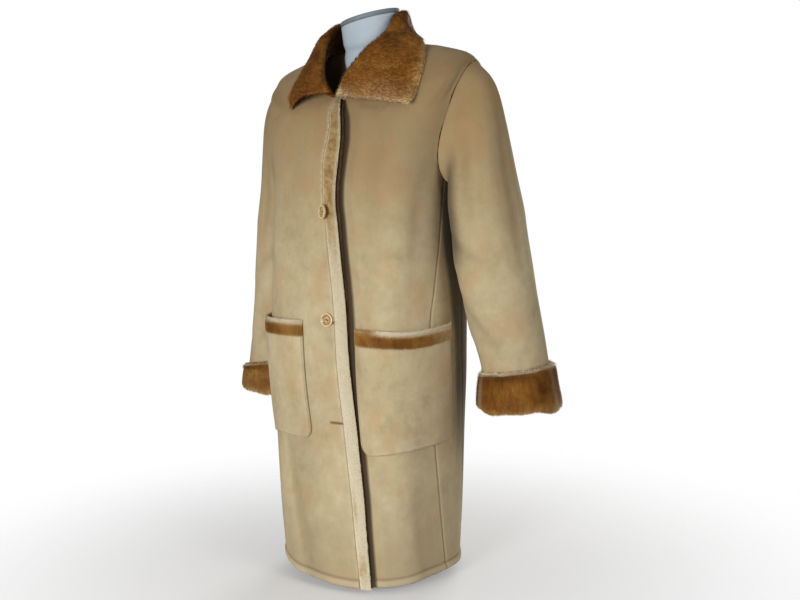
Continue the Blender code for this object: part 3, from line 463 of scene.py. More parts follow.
def make_mesh(name, vertices, faces, materials, which=None, uv=None, tint=None):
    """A smooth-shaded mesh object.

    faces is a list of arrays of three or four corners. which gives the material of each face,
    uv the cloth coordinates of each vertex in metres, and tint four numbers for each vertex.
    """
    mesh = bpy.data.meshes.new(name)
    sizes = np.concatenate([np.full(len(part), part.shape[1]) for part in faces])
    corners = np.concatenate([np.asarray(part).ravel() for part in faces]).astype(np.int32)
    mesh.vertices.add(len(vertices))
    mesh.vertices.foreach_set("co", np.asarray(vertices, np.float32).ravel())
    mesh.loops.add(len(corners))
    mesh.loops.foreach_set("vertex_index", corners)
    mesh.polygons.add(len(sizes))
    mesh.polygons.foreach_set("loop_start", (np.cumsum(sizes) - sizes).astype(np.int32))
    for finish in materials:
        mesh.materials.append(finish)
    if which is not None:
        mesh.polygons.foreach_set("material_index", np.asarray(which, np.int32))
    mesh.update(calc_edges=True)
    mesh.polygons.foreach_set("use_smooth", np.ones(len(sizes), bool))
    if uv is not None:
        layer = mesh.uv_layers.new(name="cloth")
        layer.data.foreach_set("uv", np.asarray(uv, np.float32)[corners].ravel())
    if tint is not None:
        layer = mesh.color_attributes.new(name="tint", type="FLOAT_COLOR", domain="POINT")
        layer.data.foreach_set("color", np.asarray(tint, np.float32).ravel())
    made = bpy.data.objects.new(name, mesh)
    bpy.context.scene.collection.objects.link(made)
    return made


def enclosed(vertices, faces):
    """Volume inside closed faces, negative where they are inside out."""
    total = 0.0
    for part in faces:
        points = vertices[part]
        for second in range(1, part.shape[1] - 1):
            fan = np.cross(points[:, second], points[:, second + 1])
            total += np.einsum("ij,ij->", points[:, 0], fan) / 6
    return total


def outwards(vertices, faces):
    """The same faces, turned round where they enclose a negative volume."""
    return faces if enclosed(vertices, faces) > 0 else [part[:, ::-1] for part in faces]


def cells(index):
    """Four corners of each cell of a grid of indices."""
    corners = [index[:-1, :-1], index[:-1, 1:], index[1:, 1:], index[1:, :-1]]
    return np.stack(corners, axis=-1).reshape(-1, 4)


def wall_faces(rows, columns, round_tube=False):
    """Faces of a wall whose outer grid of points comes first and whose inner grid follows."""
    index = np.arange(rows * columns).reshape(rows, columns)
    if round_tube:
        index = np.concatenate([index, index[:, :1]], axis=1)
    shift = rows * columns
    rims = [index[0, ::-1], index[-1]]
    if not round_tube:
        rims += [index[:, 0], index[::-1, -1]]
    sides = [np.stack([rim[:-1], rim[1:], rim[1:] + shift, rim[:-1] + shift], axis=-1) for rim in rims]
    return [cells(index), cells(index)[:, ::-1] + shift] + sides


def cloth_uv(across, along):
    """Cloth coordinates in metres from the distances across and along."""
    return np.stack(np.broadcast_arrays(across[None, :], along[:, None]), axis=-1).reshape(-1, 2)


def wall(name, outer, inner, outside, inside, round_tube=False, tint=None):
    """Closed wall between two grids of points, with one finish outside and one inside.

    The cloth coordinates run along the outer grid's middle row and middle column, in metres.
    """
    rows, columns = outer.shape[:2]
    faces = wall_faces(rows, columns, round_tube)
    which = np.concatenate([np.full(len(part), number == 1) for number, part in enumerate(faces)])
    vertices = np.concatenate([outer.reshape(-1, 3), inner.reshape(-1, 3)])
    uv = cloth_uv(run_along(outer[rows // 2], 0), run_along(outer[:, columns // 2], 0))
    if tint is not None:
        tint = np.concatenate([tint.reshape(-1, 4)] * 2)
    return make_mesh(name, vertices, outwards(vertices, faces), [outside, inside], which,
                     np.concatenate([uv, uv]), tint)


def loop_solid(name, loops, finish, ring=False, tint=None):
    """Closed solid through closed sections: a ring if the last joins the first, or else with its
    two ends filled by fans."""
    count, sides = loops.shape[:2]
    index = np.arange(count * sides).reshape(count, sides)
    index = np.concatenate([index, index[:, :1]], axis=1)
    vertices = loops.reshape(-1, 3)
    if ring:
        faces = [cells(np.concatenate([index, index[:1]], axis=0))]
    else:
        vertices = np.concatenate([vertices, [loops[0].mean(axis=0), loops[-1].mean(axis=0)]])
        faces = [cells(index)]
        for rim, end in ((index[0, ::-1], 0), (index[-1], 1)):
            faces.append(np.stack([rim[:-1], rim[1:], np.full(sides, count * sides + end)], axis=-1))
    round_length = np.linalg.norm(np.roll(loops[0], -1, axis=0) - loops[0], axis=-1).sum()
    uv = cloth_uv(np.linspace(0, 1, sides) * round_length, run_along(loops[:, 0], 0))
    extra = len(vertices) - len(uv)
    uv = np.concatenate([uv, np.zeros((extra, 2))])
    if tint is not None:
        tint = tint.reshape(-1, 4)
        tint = np.concatenate([tint, np.repeat(tint[:1], extra, axis=0)])
    return make_mesh(name, vertices, outwards(vertices, faces), [finish], None, uv, tint)


def tubes(name, paths, radius, finish, sides=6):
    """Joined round threads: each path is a row of points, and its ends are drawn to a point."""
    count, steps = paths.shape[:2]
    along = unit(np.gradient(paths, axis=1))
    helper = np.where(np.abs(along[..., 2:]) < 0.8, [[[0.0, 0.0, 1.0]]], [[[1.0, 0.0, 0.0]]])
    sideways = unit(np.cross(along, helper))
    upwards = np.cross(sideways, along)
    spin = np.linspace(0, 2 * np.pi, sides, endpoint=False)[:, None]
    taper = np.sin(np.linspace(0.12, np.pi - 0.12, steps)) ** 0.5
    ring = np.cos(spin) * sideways[:, :, None] + np.sin(spin) * upwards[:, :, None]
    vertices = (paths[:, :, None] + ring * (radius * taper)[None, :, None, None]).reshape(-1, 3)
    index = np.arange(count * steps * sides).reshape(count, steps, sides)
    index = np.concatenate([index, index[..., :1]], axis=2)
    quads = np.concatenate([cells(path) for path in index])
    ends = np.concatenate([index[:, 0, :-1][:, ::-1], index[:, -1, :-1]])
    fans = np.concatenate([ends[:, [0, k, k + 1]] for k in range(1, sides - 1)])
    return make_mesh(name, vertices, outwards(vertices, [quads, fans]), [finish])


# --------------------------------------------------------------------- node materials

class Socket:
    """One value or colour of a material, with arithmetic that adds its nodes."""

    def __init__(self, maker, socket):
        self.maker, self.socket = maker, socket

    def math(self, operation, first, second):
        return self.maker.node("ShaderNodeMath", {"operation": operation}, [first, second])

    def __add__(self, other):
        return self.math("ADD", self, other)

    def __sub__(self, other):
        return self.math("SUBTRACT", self, other)

    def __rsub__(self, other):
        return self.math("SUBTRACT", other, self)

    def __mul__(self, other):
        return self.math("MULTIPLY", self, other)

    __radd__ = __add__

    def clamped(self):
        return self.maker.node("ShaderNodeClamp", {}, [self])

    def between(self, low, high):
        """0 below low, 1 above high, and a smooth step between."""
        settings = {"interpolation_type": "SMOOTHSTEP", "clamp": True}
        return self.maker.node("ShaderNodeMapRange", settings,
                               {"Value": self, "From Min": low, "From Max": high})


class Finish:
    """A material whose one shader is a Principled node."""

    def __init__(self, name, roughness, **constants):
        self.material = bpy.data.materials.new(name)
        self.material.use_nodes = True
        self.tree = self.material.node_tree
        self.shader = self.tree.nodes["Principled BSDF"]
        self.shader.inputs["Roughness"].default_value = roughness
        for label, value in constants.items():
            self.shader.inputs[label.replace("_", " ")].default_value = value

    def node(self, kind, settings=(), inputs=(), output=0):
        """A node of the given kind: its settings first, then the values or links of its sockets."""
        made = self.tree.nodes.new(kind)
        for label, value in dict(settings).items():
            setattr(made, label, value)
        pairs = inputs.items() if isinstance(inputs, dict) else enumerate(inputs)
        for label, value in pairs:
            if isinstance(value, Socket):
                self.tree.links.new(value.socket, made.inputs[label])
            else:
                made.inputs[label].default_value = value
        return Socket(self, made.outputs[output])

    def mapped(self, at, scale, turn=(0.0, 0.0, 0.0)):
        """Coordinates, scaled and turned."""
        return self.node("ShaderNodeMapping", {}, {"Vector": at, "Scale": scale, "Rotation": turn})

    def place(self, scale=(1.0, 1.0, 1.0), turn=(0.0, 0.0, 0.0)):
        """Object coordinates, scaled and turned."""
        return self.mapped(self.node("ShaderNodeTexCoord", output="Object"), scale, turn)

    def noise(self, scale, detail=3.0, roughness=0.6, at=None):
        """Soft noise, this many cells to the metre."""
        inputs = {"Vector": at or self.place(), "Scale": scale, "Detail": detail, "Roughness": roughness}
        return self.node("ShaderNodeTexNoise", {}, inputs)

    def mix(self, share, first, second):
        """Colour between two colours."""
        colors = [(*color, 1.0) if isinstance(color, tuple) else color for color in (first, second)]
        return self.node("ShaderNodeMix", {"data_type": "RGBA"}, {0: share, 6: colors[0], 7: colors[1]}, 2)

    def ramp(self, value, *stops):
        """Colour that runs through the stops as the value grows."""
        made = self.node("ShaderNodeValToRGB", {}, [value])
        elements = made.socket.node.color_ramp.elements
        while len(elements) < len(stops):
            elements.new(0.5)
        for element, (place, color) in zip(elements, stops):
            element.position, element.color = place, (*color, 1.0)
        return made

    def tint(self):
        """The three painted numbers of a piece."""
        color = self.node("ShaderNodeAttribute", {"attribute_name": "tint"})
        return [self.node("ShaderNodeSeparateColor", {}, [color], k) for k in range(3)]

    def link(self, value, label):
        """The shader takes this value or colour."""
        self.tree.links.new(value.socket, self.shader.inputs[label])

    def finished(self, color, height, distance, strength):
        """The material with its colour and its bump joined to the shader."""
        self.link(color, "Base Color")
        inputs = {"Height": height, "Distance": distance * MM, "Strength": strength}
        self.link(self.node("ShaderNodeBump", {}, inputs), "Normal")
        return self.material


def suede_finish():
    """Brushed suede: slow patches where the nap lies another way, small smudges and a fine grain,
    browner towards the shoulders. The first painted number is a painted highlight on seam ridges,
    the hem's roll and pocket edges, the second darkens the seams and paints shade into creases
    and the hem's groove, and the third is painted deep shade."""
    made = Finish("suede", 0.95, Sheen_Weight=0.12, Sheen_Roughness=0.5, Specular_IOR_Level=0.1)
    painted_highlight, dark, shadow = made.tint()
    patches = made.noise(6.5, 4.0, 0.62, made.place((1.0, 1.0, 0.6)))
    smudges = made.noise(24.0, 4.0, 0.65)
    pinkish = made.noise(15.0, 4.0, 0.6, made.place((1.0, 1.0, 0.7), (0.0, 0.0, 1.1)))
    along_cloth = made.mapped(made.node("ShaderNodeUVMap", {"uv_map": "cloth"}), (1.0, 0.3, 1.0))
    nap = made.noise(150.0, 3.0, 0.6, along_cloth)
    grain = made.noise(1100.0, 2.0)
    speckle = made.noise(70.0)
    height = made.node("ShaderNodeSeparateXYZ", {}, [made.place()], 2)
    tone = patches * 0.36 + smudges * 0.34 + speckle * 0.14 + nap * 0.06 + grain * 0.10
    color = made.ramp(tone, (0.36, (0.390, 0.305, 0.172)), (0.46, (0.490, 0.394, 0.230)),
                      (0.54, (0.545, 0.446, 0.266)), (0.66, (0.630, 0.528, 0.338)))
    brown = height.between(0.58, 1.02) * (patches * 0.95 + 0.20 + smudges * 0.55)
    low = 1.0 - height.between(0.04, 0.24)
    # layers: the pink tone, the browner top, darker towards the hem, then the painted highlight, the dark
    # seams with painted shade in creases and grooves, and the painted deep shade
    for share, layer in ((pinkish.between(0.47, 0.64) * 0.46, (0.520, 0.335, 0.172)),
                         ((brown * 0.85).clamped(), (0.285, 0.176, 0.070)),
                         (low * 0.50, (0.390, 0.300, 0.176)), (painted_highlight * 0.60, (0.720, 0.630, 0.450)),
                         (dark * 0.70, (0.140, 0.090, 0.045)), (shadow, (0.050, 0.030, 0.016))):
        color = made.mix(share, color, layer)
    return made.finished(color, grain * 0.55 + nap * 0.55 + smudges * 0.9, 0.5, 0.7)


def pile_finish(name, clumps, low, middle, high, pale):
    """Short pile. The painted numbers are the way along a hair from its root, how light the hair
    is, and how cream it is."""
    made = Finish(name, 0.60, Sheen_Weight=0.05, Sheen_Roughness=0.35, Specular_IOR_Level=0.15,
                  Sheen_Tint=(1.0, 0.80, 0.52, 1.0))
    along, light, cream = made.tint()
    patches = made.noise(clumps, 4.0, 0.58)
    wisps = made.noise(110.0, 3.0, 0.6, made.place((1.0, 1.0, 0.35)))
    tone = light * 0.70 + (patches - 0.5) * 1.00 + (wisps - 0.5) * 0.40 + 0.14
    color = made.ramp(tone.clamped(), (0.0, low), (0.42, middle), (1.0, high))
    color = made.mix((cream * (along * 0.35 + 0.65)).clamped(), color, pale)
    # painted shade deep in the pile: hairs darker towards their roots
    color = made.mix((1.0 - along) * 0.32, color, (0.040, 0.014, 0.003))
    return made.finished(color, wisps, 1.0, 0.6)


def lining_finish():
    """The pile seen inside the coat: soft clumps a few millimetres across."""
    made = Finish("lining_pile", 0.85, Sheen_Weight=0.4, Sheen_Roughness=0.4, Specular_IOR_Level=0.2)
    clumps = made.noise(210.0, 4.0)
    color = made.ramp(clumps * 0.55 + made.noise(14.0) * 0.45, (0.35, (0.150, 0.066, 0.016)),
                      (0.52, (0.300, 0.150, 0.046)), (0.68, (0.460, 0.290, 0.120)))
    return made.finished(color, clumps, 2.2, 0.9)


def form_finish():
    """Smooth pale shell of the dress form, faintly clouded and finely scratched. Below the foot
    of its neck it is painted dark: painted shade where the collar hides it."""
    made = Finish("form_shell", 0.62, Specular_IOR_Level=0.25)
    clouds = made.noise(9.0, 4.0)
    specks = made.noise(420.0, 2.0)
    at = made.place()
    leftwards, backwards, height = [made.node("ShaderNodeSeparateXYZ", {}, [at], k) for k in range(3)]
    above = height * NECK_BASE_SLANT[2] + backwards * NECK_BASE_SLANT[1] + (leftwards + 0.046) * 0.8
    foot = NECK_BASE_SLANT[2] * (NECK_BASE[2] + HEM_Z) + NECK_BASE_SLANT[1] * NECK_BASE[1]
    pale = made.ramp(clouds, (0.36, (0.430, 0.510, 0.575)), (0.64, (0.525, 0.600, 0.660)))
    # painted shade below the neck's foot: brown towards the wearer's right, navy elsewhere
    deep = made.mix(leftwards.between(-0.040, -0.005), (0.040, 0.026, 0.014), (0.022, 0.029, 0.040))
    made.link(clouds * 0.15 + specks * 0.10 + 0.48, "Roughness")
    color = made.mix(above.between(foot - 2.0 * MM, foot + 7.0 * MM), deep, pale)
    return made.finished(color, specks, 0.12, 0.3)


def metal_finish():
    """Brushed steel: fine turned lines round the axis and soft stains."""
    made = Finish("brushed_steel", 0.38, Metallic=1.0)
    lines = made.noise(60.0, 3.0, 0.6, made.place((1.0, 1.0, 40.0)))
    stains = made.noise(22.0, 4.0)
    made.link(lines * 0.25 + stains * 0.15 + 0.18, "Roughness")
    color = made.ramp(stains, (0.35, (0.40, 0.40, 0.41)), (0.65, (0.62, 0.62, 0.63)))
    return made.finished(color, lines, 0.05, 0.4)


def cap_finish():
    """Slate grey rim of the neck's cut top."""
    made = Finish("neck_cap", 0.5, Specular_IOR_Level=0.4)
    stops = (0.35, (0.150, 0.178, 0.200)), (0.65, (0.215, 0.248, 0.272))
    return made.finished(made.ramp(made.noise(30.0, 4.0), *stops), made.noise(600.0, 2.0, 0.55), 0.10, 0.4)


def button_finish():
    """Horn-like gold: swirled amber bands under a gloss. The painted numbers are a painted
    highlight on the rim, a darker dish and painted shade that blackens the holes."""
    made = Finish("button_horn", 0.24, Specular_IOR_Level=0.6, Coat_Weight=0.5, Coat_Roughness=0.12)
    painted_highlight, dark, shadow = made.tint()
    swirl = made.noise(160.0, 4.0, 0.65, made.place((1.0, 1.0, 2.4), (0.4, 0.9, 0.3)))
    fine = made.noise(900.0)
    color = made.ramp(swirl * 0.8 + fine * 0.2, (0.36, (0.330, 0.165, 0.040)),
                      (0.50, (0.600, 0.395, 0.145)), (0.66, (0.830, 0.670, 0.370)))
    color = made.mix(painted_highlight * 0.7, color, (0.900, 0.790, 0.530))
    color = made.mix(dark * 0.55, color, (0.230, 0.110, 0.028))
    color = made.mix(shadow * 0.92, color, (0.020, 0.010, 0.004))
    return made.finished(color, fine, 0.08, 0.35)


def thread_finish(name, dark, light):
    """Twisted thread."""
    made = Finish(name, 0.75, Sheen_Weight=0.3)
    twist = made.noise(1400.0, 2.0, 0.55)
    return made.finished(made.ramp(twist, (0.3, dark), (0.7, light)), twist, 0.15, 0.6)


SUEDE = suede_finish()
LINING = lining_finish()
BROWN_PILE = pile_finish("brown_pile", 26.0, (0.120, 0.036, 0.004), (0.330, 0.132, 0.018),
                         (0.640, 0.385, 0.110), (0.930, 0.780, 0.490))
EDGE_PILE = pile_finish("edge_pile", 95.0, (0.260, 0.120, 0.022), (0.600, 0.400, 0.150),
                        (0.900, 0.760, 0.480), (1.000, 0.910, 0.690))
# very dark pile for the fringe under the closing edge: the lining's pile, painted dark as shade of the gap
DARK_PILE = pile_finish("dark_fringe", 60.0, (0.040, 0.018, 0.005), (0.090, 0.045, 0.014),
                        (0.170, 0.095, 0.034), (0.300, 0.200, 0.100))
FORM = form_finish()
CAP = cap_finish()
STEEL = metal_finish()
HORN = button_finish()
TAN_THREAD = thread_finish("tan_thread", (0.330, 0.225, 0.105), (0.560, 0.430, 0.250))
BROWN_THREAD = thread_finish("brown_thread", (0.050, 0.026, 0.010), (0.130, 0.075, 0.032))


# ------------------------------------------------------------------------- short pile

def scattered(grid, density):
    """Random places on a grid of points: the cell's row and column and the place in the cell,
    evenly over its area."""
    area = cell_areas(grid)
    total = area.sum()
    picked = np.searchsorted(np.cumsum(area.ravel()), random.random(int(total * density)) * total)
    row, column = np.unravel_index(np.clip(picked, 0, area.size - 1), area.shape)
    return row, column, random.random(len(row)), random.random(len(row))


def sampled(field, place):
    """A grid's values at scattered places, by straight shares of the four corners."""
    row, column, down, right = place
    shape = (-1,) + (1,) * (field.ndim - 2)
    down, right = down.reshape(shape), right.reshape(shape)
    return ((1 - down) * ((1 - right) * field[row, column] + right * field[row, column + 1])
            + down * ((1 - right) * field[row + 1, column] + right * field[row + 1, column + 1]))


def off_normal(direction, normal):
    """The direction laid down on the skin."""
    return unit(direction - normal * np.einsum("ij,ij->i", direction, normal)[:, None])


def blades(name, patches, finish, width):
    """Hairs as narrow ribbons of three triangles that lie over in the nap's direction.

    Each patch is (grid, normals, nap, length, rise, light, cream, density); a hair leaves the
    skin between the normal and the nap and bends down towards its tip.
    """
    all_vertices, all_tints = [], []
    for grid, normals, nap, length, rise, light, cream, density in patches:
        place = scattered(grid, density)
        count = len(place[0])
        ones = np.ones(grid.shape[:2])
        root = sampled(grid, place)
        normal = unit(sampled(normals, place))
        lay = off_normal(sampled(nap, place), normal)
        lay = off_normal(unit(lay + 0.13 * random.normal(size=(count, 3))), normal)
        side = np.cross(lay, normal)
        long = (sampled(length * ones, place) * random.uniform(0.72, 1.12, count))[:, None]
        up = (sampled(rise * ones, place) * random.uniform(0.80, 1.05, count))[:, None]
        middle = root + lay * long * 0.46 + normal * up * 0.75
        tip = root + lay * long + normal * up
        half = side * (0.5 * width * random.uniform(0.7, 1.25, count))[:, None]
        all_vertices.append(np.stack([root - half, root + half, middle + 0.8 * half,
                                      middle - 0.8 * half, tip], axis=1).reshape(-1, 3))
        lights = sampled(light * ones, place) + random.normal(0.0, 0.055, count)
        creams = sampled(cream * ones, place) * random.uniform(0.80, 1.15, count)
        along = np.array([0.0, 0.0, 0.62, 0.62, 1.0])
        all_tints.append(painted(along, lights[:, None], creams[:, None]).reshape(-1, 4))
    vertices = np.concatenate(all_vertices)
    tint = np.clip(np.concatenate(all_tints), 0.0, 1.0)
    index = np.arange(len(vertices)).reshape(-1, 5)
    return make_mesh(name, vertices, [index[:, [0, 1, 2, 3]], index[:, [3, 2, 4]]], [finish], tint=tint)


def painted(first, second, third):
    """The painted numbers of each place: the three given, and a one."""
    return np.stack(np.broadcast_arrays(first, second, third, 1.0), axis=-1)


def skin_tint(light, cream):
    """The painted numbers of the skin under a pile: half way along a hair."""
    return np.clip(painted(0.45, light, cream), 0.0, 1.0)


def cell_areas(grid):
    """Area of each cell of a grid of points."""
    crossed = np.cross(grid[1:, 1:] - grid[:-1, :-1], grid[1:, :-1] - grid[:-1, 1:])
    return 0.5 * np.linalg.norm(crossed, axis=-1)


# --------------------------------------------------------------- hiding nodes and attaching pieces


def finish_sheet(piece, node, outer, with_pieces=()):
    """The piece stands for its node and rides with the coat, and so do the extra pieces. The flat
    size and area that its outer grid of points has along the cloth are worked out and left unused."""
    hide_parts(node)
    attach(piece, "root")
    for extra in with_pieces:
        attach(extra, "root")
    width, length = [float(run_along(outer, axis).max()) for axis in (1, 0)]
    min(float(cell_areas(outer).sum()), width * length)


def finish_part(piece, slot, *nodes):
    """A hard or small piece that rides with the coat and stands for the named nodes."""
    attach(piece, "root")
    if nodes:
        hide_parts(*nodes)


def suede_sheet(name, outer, inner, tint, round_tube=False, rests_on="dress_form"):
    """A piece of the coat's cloth: suede outside, pile inside."""
    piece = wall(name, outer, inner, SUEDE, LINING, round_tube, tint)
    if round_tube:
        outer = np.concatenate([outer, outer[:, :1]], axis=1)
    finish_sheet(piece, name, outer, ())


# -------------------------------------------------------------------- the body panels

FINE_ROWS = np.concatenate([
    [0.0, 0.006, 0.014, 0.026, 0.042, 0.06, 0.078, 0.092, 0.102, 0.11, 0.117, 0.124, 0.131, 0.14],
    [0.155, 0.175, 0.20, 0.24, 0.29],
    np.linspace(0.35, 6.1, 76), np.linspace(6.1, 9.0, 46)[1:], np.linspace(9.0, 11.0, 32)[1:]])
LOW_FINE_ROWS = FINE_ROWS[FINE_ROWS <= 6.1 + 1e-9]


ARM_SHADE = np.array([
    # ring row, angle where the deep shade under the arm begins, its strength
    (0.9, 84.0, 0.0), (1.6, 86.0, 0.15), (2.1, 88.5, 0.42), (2.7, 89.5, 0.72), (3.4, 90.0, 0.76),
    (3.8, 87.0, 0.78), (4.4, 84.0, 0.80), (5.0, 80.5, 0.82), (5.7, 77.5, 0.80), (6.4, 71.0, 0.55),
    (6.9, 66.0, 0.0)])


def arm_shade(angles, rows):
    """Brown shade where the sleeves hang against the sides."""
    round_body = np.abs((angles + 180.0) % 360.0 - 180.0)
    begins = smooth_rows(ARM_SHADE[:, 0], ARM_SHADE[:, 1], rows)
    strength = np.clip(smooth_rows(ARM_SHADE[:, 0], ARM_SHADE[:, 2], rows), 0.0, 1.0)
    return strength * ease(begins - 1.5, begins + 3.0, round_body) * fade(106.0, 126.0, round_body)


def cloth_panel(angles, rows, drop=0.0, side_highlight=0.0):
    """Outer and inner points and painted numbers of a panel over a grid of angles and rows.

    The outer face carries the creases and the hem roll, and falls a little to each seam. The
    hem's turned edge is a half round.
    """
    rows = np.broadcast_to(rows, angles.shape)
    flat = plain_body(angles, rows)
    to_edge = to_ends(run_along(flat, 1), 1)
    turned = round_over(run_along(flat, 0), 3.5 * MM)
    armhole = ease(6.0, 6.4, rows)
    seam_fall = (1.3 - 1.0 * armhole) * MM * fade(0.0, 3.5 * MM, to_edge)
    pucker = 0.35 * MM * np.sin(rows * 31.0 + angles * 0.7) * fade(0.0, 14 * MM, to_edge)
    outer_out = drop + hem_roll(rows) - seam_fall + pucker * ease(0.3, 0.6, rows) - turned
    outer = coat_point(angles, rows, outer_out)
    inner = coat_point(angles, rows, drop - CLOTH + turned)
    # painted highlight: a pale band on the ridge beside each seam and along the hem's roll
    painted_highlight = (0.15 * bell(to_edge, 5.0 * MM, 2.5 * MM)
            + 0.40 * fade(0.08, 0.12, rows) * ease(0.0, 0.04, rows))
    # dark seams, with painted shade in the hem's groove and in the creases' troughs
    dark = ((0.70 - 0.45 * armhole) * fade(0.0, 2.2 * MM, to_edge) + 0.50 * bell(rows, HEM_GROOVE, 0.014)
            + 0.30 * np.clip(-crease_height(angles, rows) / (2.5 * MM), 0.0, 1.0))
    # painted shade under the arms and round the neckline under the collar
    shade = np.maximum(arm_shade(angles, rows), 0.9 * ease(10.75, 10.95, rows))
    return outer, inner, painted(np.maximum(painted_highlight, side_highlight), dark, shade)


def make_fronts():
    """The right front up to the edging's seam, and the left front with its underlap."""
    rows = FINE_ROWS[:, None]
    edge = front_outer_edge(FINE_ROWS)[:, None]
    seam = trim_seam(rows)
    angles = -edge + (seam + edge) * crowded(52, 0.03, 4)[None, :]
    broken = 0.55 + 0.45 * np.sin(rows * 23.0 + 2.0 * np.sin(rows * 7.0))
    shown = 1 - 0.75 * ease(4.2, 4.8, rows) * fade(5.2, 5.6, rows)
    from_seam = (seam - angles) * METRES_PER_DEGREE
    # painted highlight on the ridge beside the edging's seam, broken up along its length
    seam_highlight = 0.9 * broken * shown * bell(from_seam, 2.2 * MM, 1.3 * MM)
    suede_sheet("right_front", *cloth_panel(angles, rows, 0.0, seam_highlight))

    near = closing_edge(rows) + np.linspace(-LAP_DEG, LAP_SLOPE_DEG, 31)[None, :]
    share = np.concatenate([np.linspace(0, 0.97, 44), 1 - 0.03 * np.linspace(1, 0, 5)[1:] ** 1.6])
    angles = np.concatenate([near, near[:, -1:] + (edge - near[:, -1:]) * share[1:][None, :]], axis=1)
    grown = np.broadcast_to(rows, angles.shape)
    outer, inner, tint = cloth_panel(angles, rows, lap_drop(angles, grown))
    # painted shade in the gap beside the closing edge, and a faint painted shade over the left front that
    # grows up the chest
    lap_shade = 0.95 * fade(3.5, 4.8, angles - closing_edge(rows))
    tint[..., 2] = np.maximum.reduce([tint[..., 2], 0.04 + 0.06 * ease(4.0, 7.0, grown), lap_shade])
    suede_sheet("left_front", outer, inner, tint)


def make_sides_and_back():
    """The two side panels under the armholes, and the back."""
    across = crowded(14, 0.08, 4)[None, :]
    rows = LOW_FINE_ROWS
    seam = beside_seam(table_curve(SIDE_FRONT_SEAM, rows), rows, 1)[:, None]
    side = beside_seam(np.full(rows.shape, SIDE_SEAM_DEG), rows, -1)[:, None]
    angles = seam + (side - seam) * across
    dip = (ARMHOLE[0, 0] - ARMHOLE_FLOOR_ROW) * np.sin(np.pi * across)
    rows = rows[:, None] * (1 - dip / rows[-1])
    for name, sign in SIDE_SIGN.items():
        suede_sheet(name + "_side_front", *cloth_panel(sign * angles, rows))
    edge = outer_edge(FINE_ROWS, SIDE_SEAM_DEG, 2, 1)[:, None]
    angles = edge + (360.0 - 2 * edge) * crowded(92, 0.02, 4)[None, :]
    suede_sheet("back", *cloth_panel(angles, FINE_ROWS[:, None]))


def make_edging():
    """Pile edging on the closing edge: a skin under the solid's face, short hairs on it that
    point down and outwards, and long dark hairs that hang behind the edge."""
    rows = FINE_ROWS[:, None]
    trim = trim_seam(rows) + np.degrees(SEAM / EDGE_RADIUS)
    edge = closing_edge(rows)
    over = np.linspace(0, 1, 15)[None, :]
    arch = np.sin(np.pi * (0.12 + 0.80 * over))
    outer_out = EDGE_TRIM_PROUD * (arch ** 0.6) - 1.4 * MM - 1.6 * MM * over ** 6
    under_out = -CLOTH - 1.0 * MM * arch + 0.9 * MM
    angles = trim + (edge - trim) * (over * 0.985)
    grown = np.broadcast_to(rows, angles.shape)
    ends = round_over(grown * METRES_PER_ROW, 3.5 * MM)
    outer = coat_point(angles, grown, outer_out - ends)
    inner = coat_point(angles, grown, under_out + ends)
    high = ease(4.5, 6.0, grown)
    mottled = 0.5 + 0.5 * np.sin(grown * 9.0 + 3.0 * np.sin(grown * 3.1))
    middle = bell(grown, 4.9, 0.7)
    brown = np.clip(0.9 * bell(grown, 0.30, 0.22) * (1 - 0.6 * over)
                    + 0.6 * bell(grown, 1.15, 0.25) * fade(0.15, 0.55, over), 0.0, 1.0)
    crumbs = 0.16 * np.sin(grown * 61.0 + 9.0 * over) * np.sin(grown * 97.0 - 14.0 * over)
    # darker and browner above the upper button: painted shade and sheen on the same fur
    light = 0.94 - 0.62 * high + 0.18 * mottled * high - 0.45 * brown - 0.12 * middle + crumbs
    # pale along both edges: painted highlights on the seam and on the closing edge
    cream = (0.95 * (1 - high) - 0.35 * middle + 0.75 * ease(0.70, 0.95, over) + 0.70 * fade(0.0, 0.14, over))
    cream = np.clip(cream + 0.35 * ease(9.2, 10.0, grown) - brown, 0.0, 1.0)
    skin = wall("front_edge_pile", outer, inner, EDGE_PILE, EDGE_PILE, tint=skin_tint(light, cream))
    normal = body_normal(angles, grown)
    here = coat_point(angles, grown)
    down = coat_point(angles, np.clip(grown - 0.05, 0, None)) - here
    right = coat_point(angles + 0.5, grown) - here
    nap = unit(unit(down) * 0.8 + unit(right) * 0.6)
    face = (outer, normal, nap, 4.5 * MM, 1.6 * MM, light, cream, 1.0e6)
    side_grid = np.stack([outer[:, -1], 0.5 * (outer[:, -1] + inner[:, -1]), inner[:, -1]], axis=1)
    normal, down, right = [np.repeat(field[:, -1:], 3, axis=1) for field in (normal, unit(down), right)]
    # hairs on the edge's side face, painted darker: painted shade
    side = (side_grid, unit(right + 0.25 * normal), down, 4.0 * MM, 1.6 * MM, light[:, -1:] - 0.1,
            cream[:, -1:] * 0.9, 1.0e6)
    hairs = blades("front_edge_hairs", [face, side], EDGE_PILE, 0.9 * MM)

    grown = grown[:, :3]
    inside = coat_point(edge + np.array([[-3.2, -2.0, -0.8]]), grown, -CLOTH - 2 * MM)
    reach = 9.0 * MM + 5.0 * MM * ease(3.0, 6.0, grown)
    # the lining's pile showing under the edge; its colour, far darker than the lining, is painted shade of
    # the gap
    fringe = (inside, -normal, unit(unit(right) + 0.35 * down), reach, 1.0 * MM, 0.35, 0.0, 0.9e6)
    dark = blades("front_edge_fringe", [fringe], DARK_PILE, 0.9 * MM)
    finish_sheet(skin, "front_edge_pile", outer, [hairs, dark])


# ----------------------------------------------------------------------- the sleeves


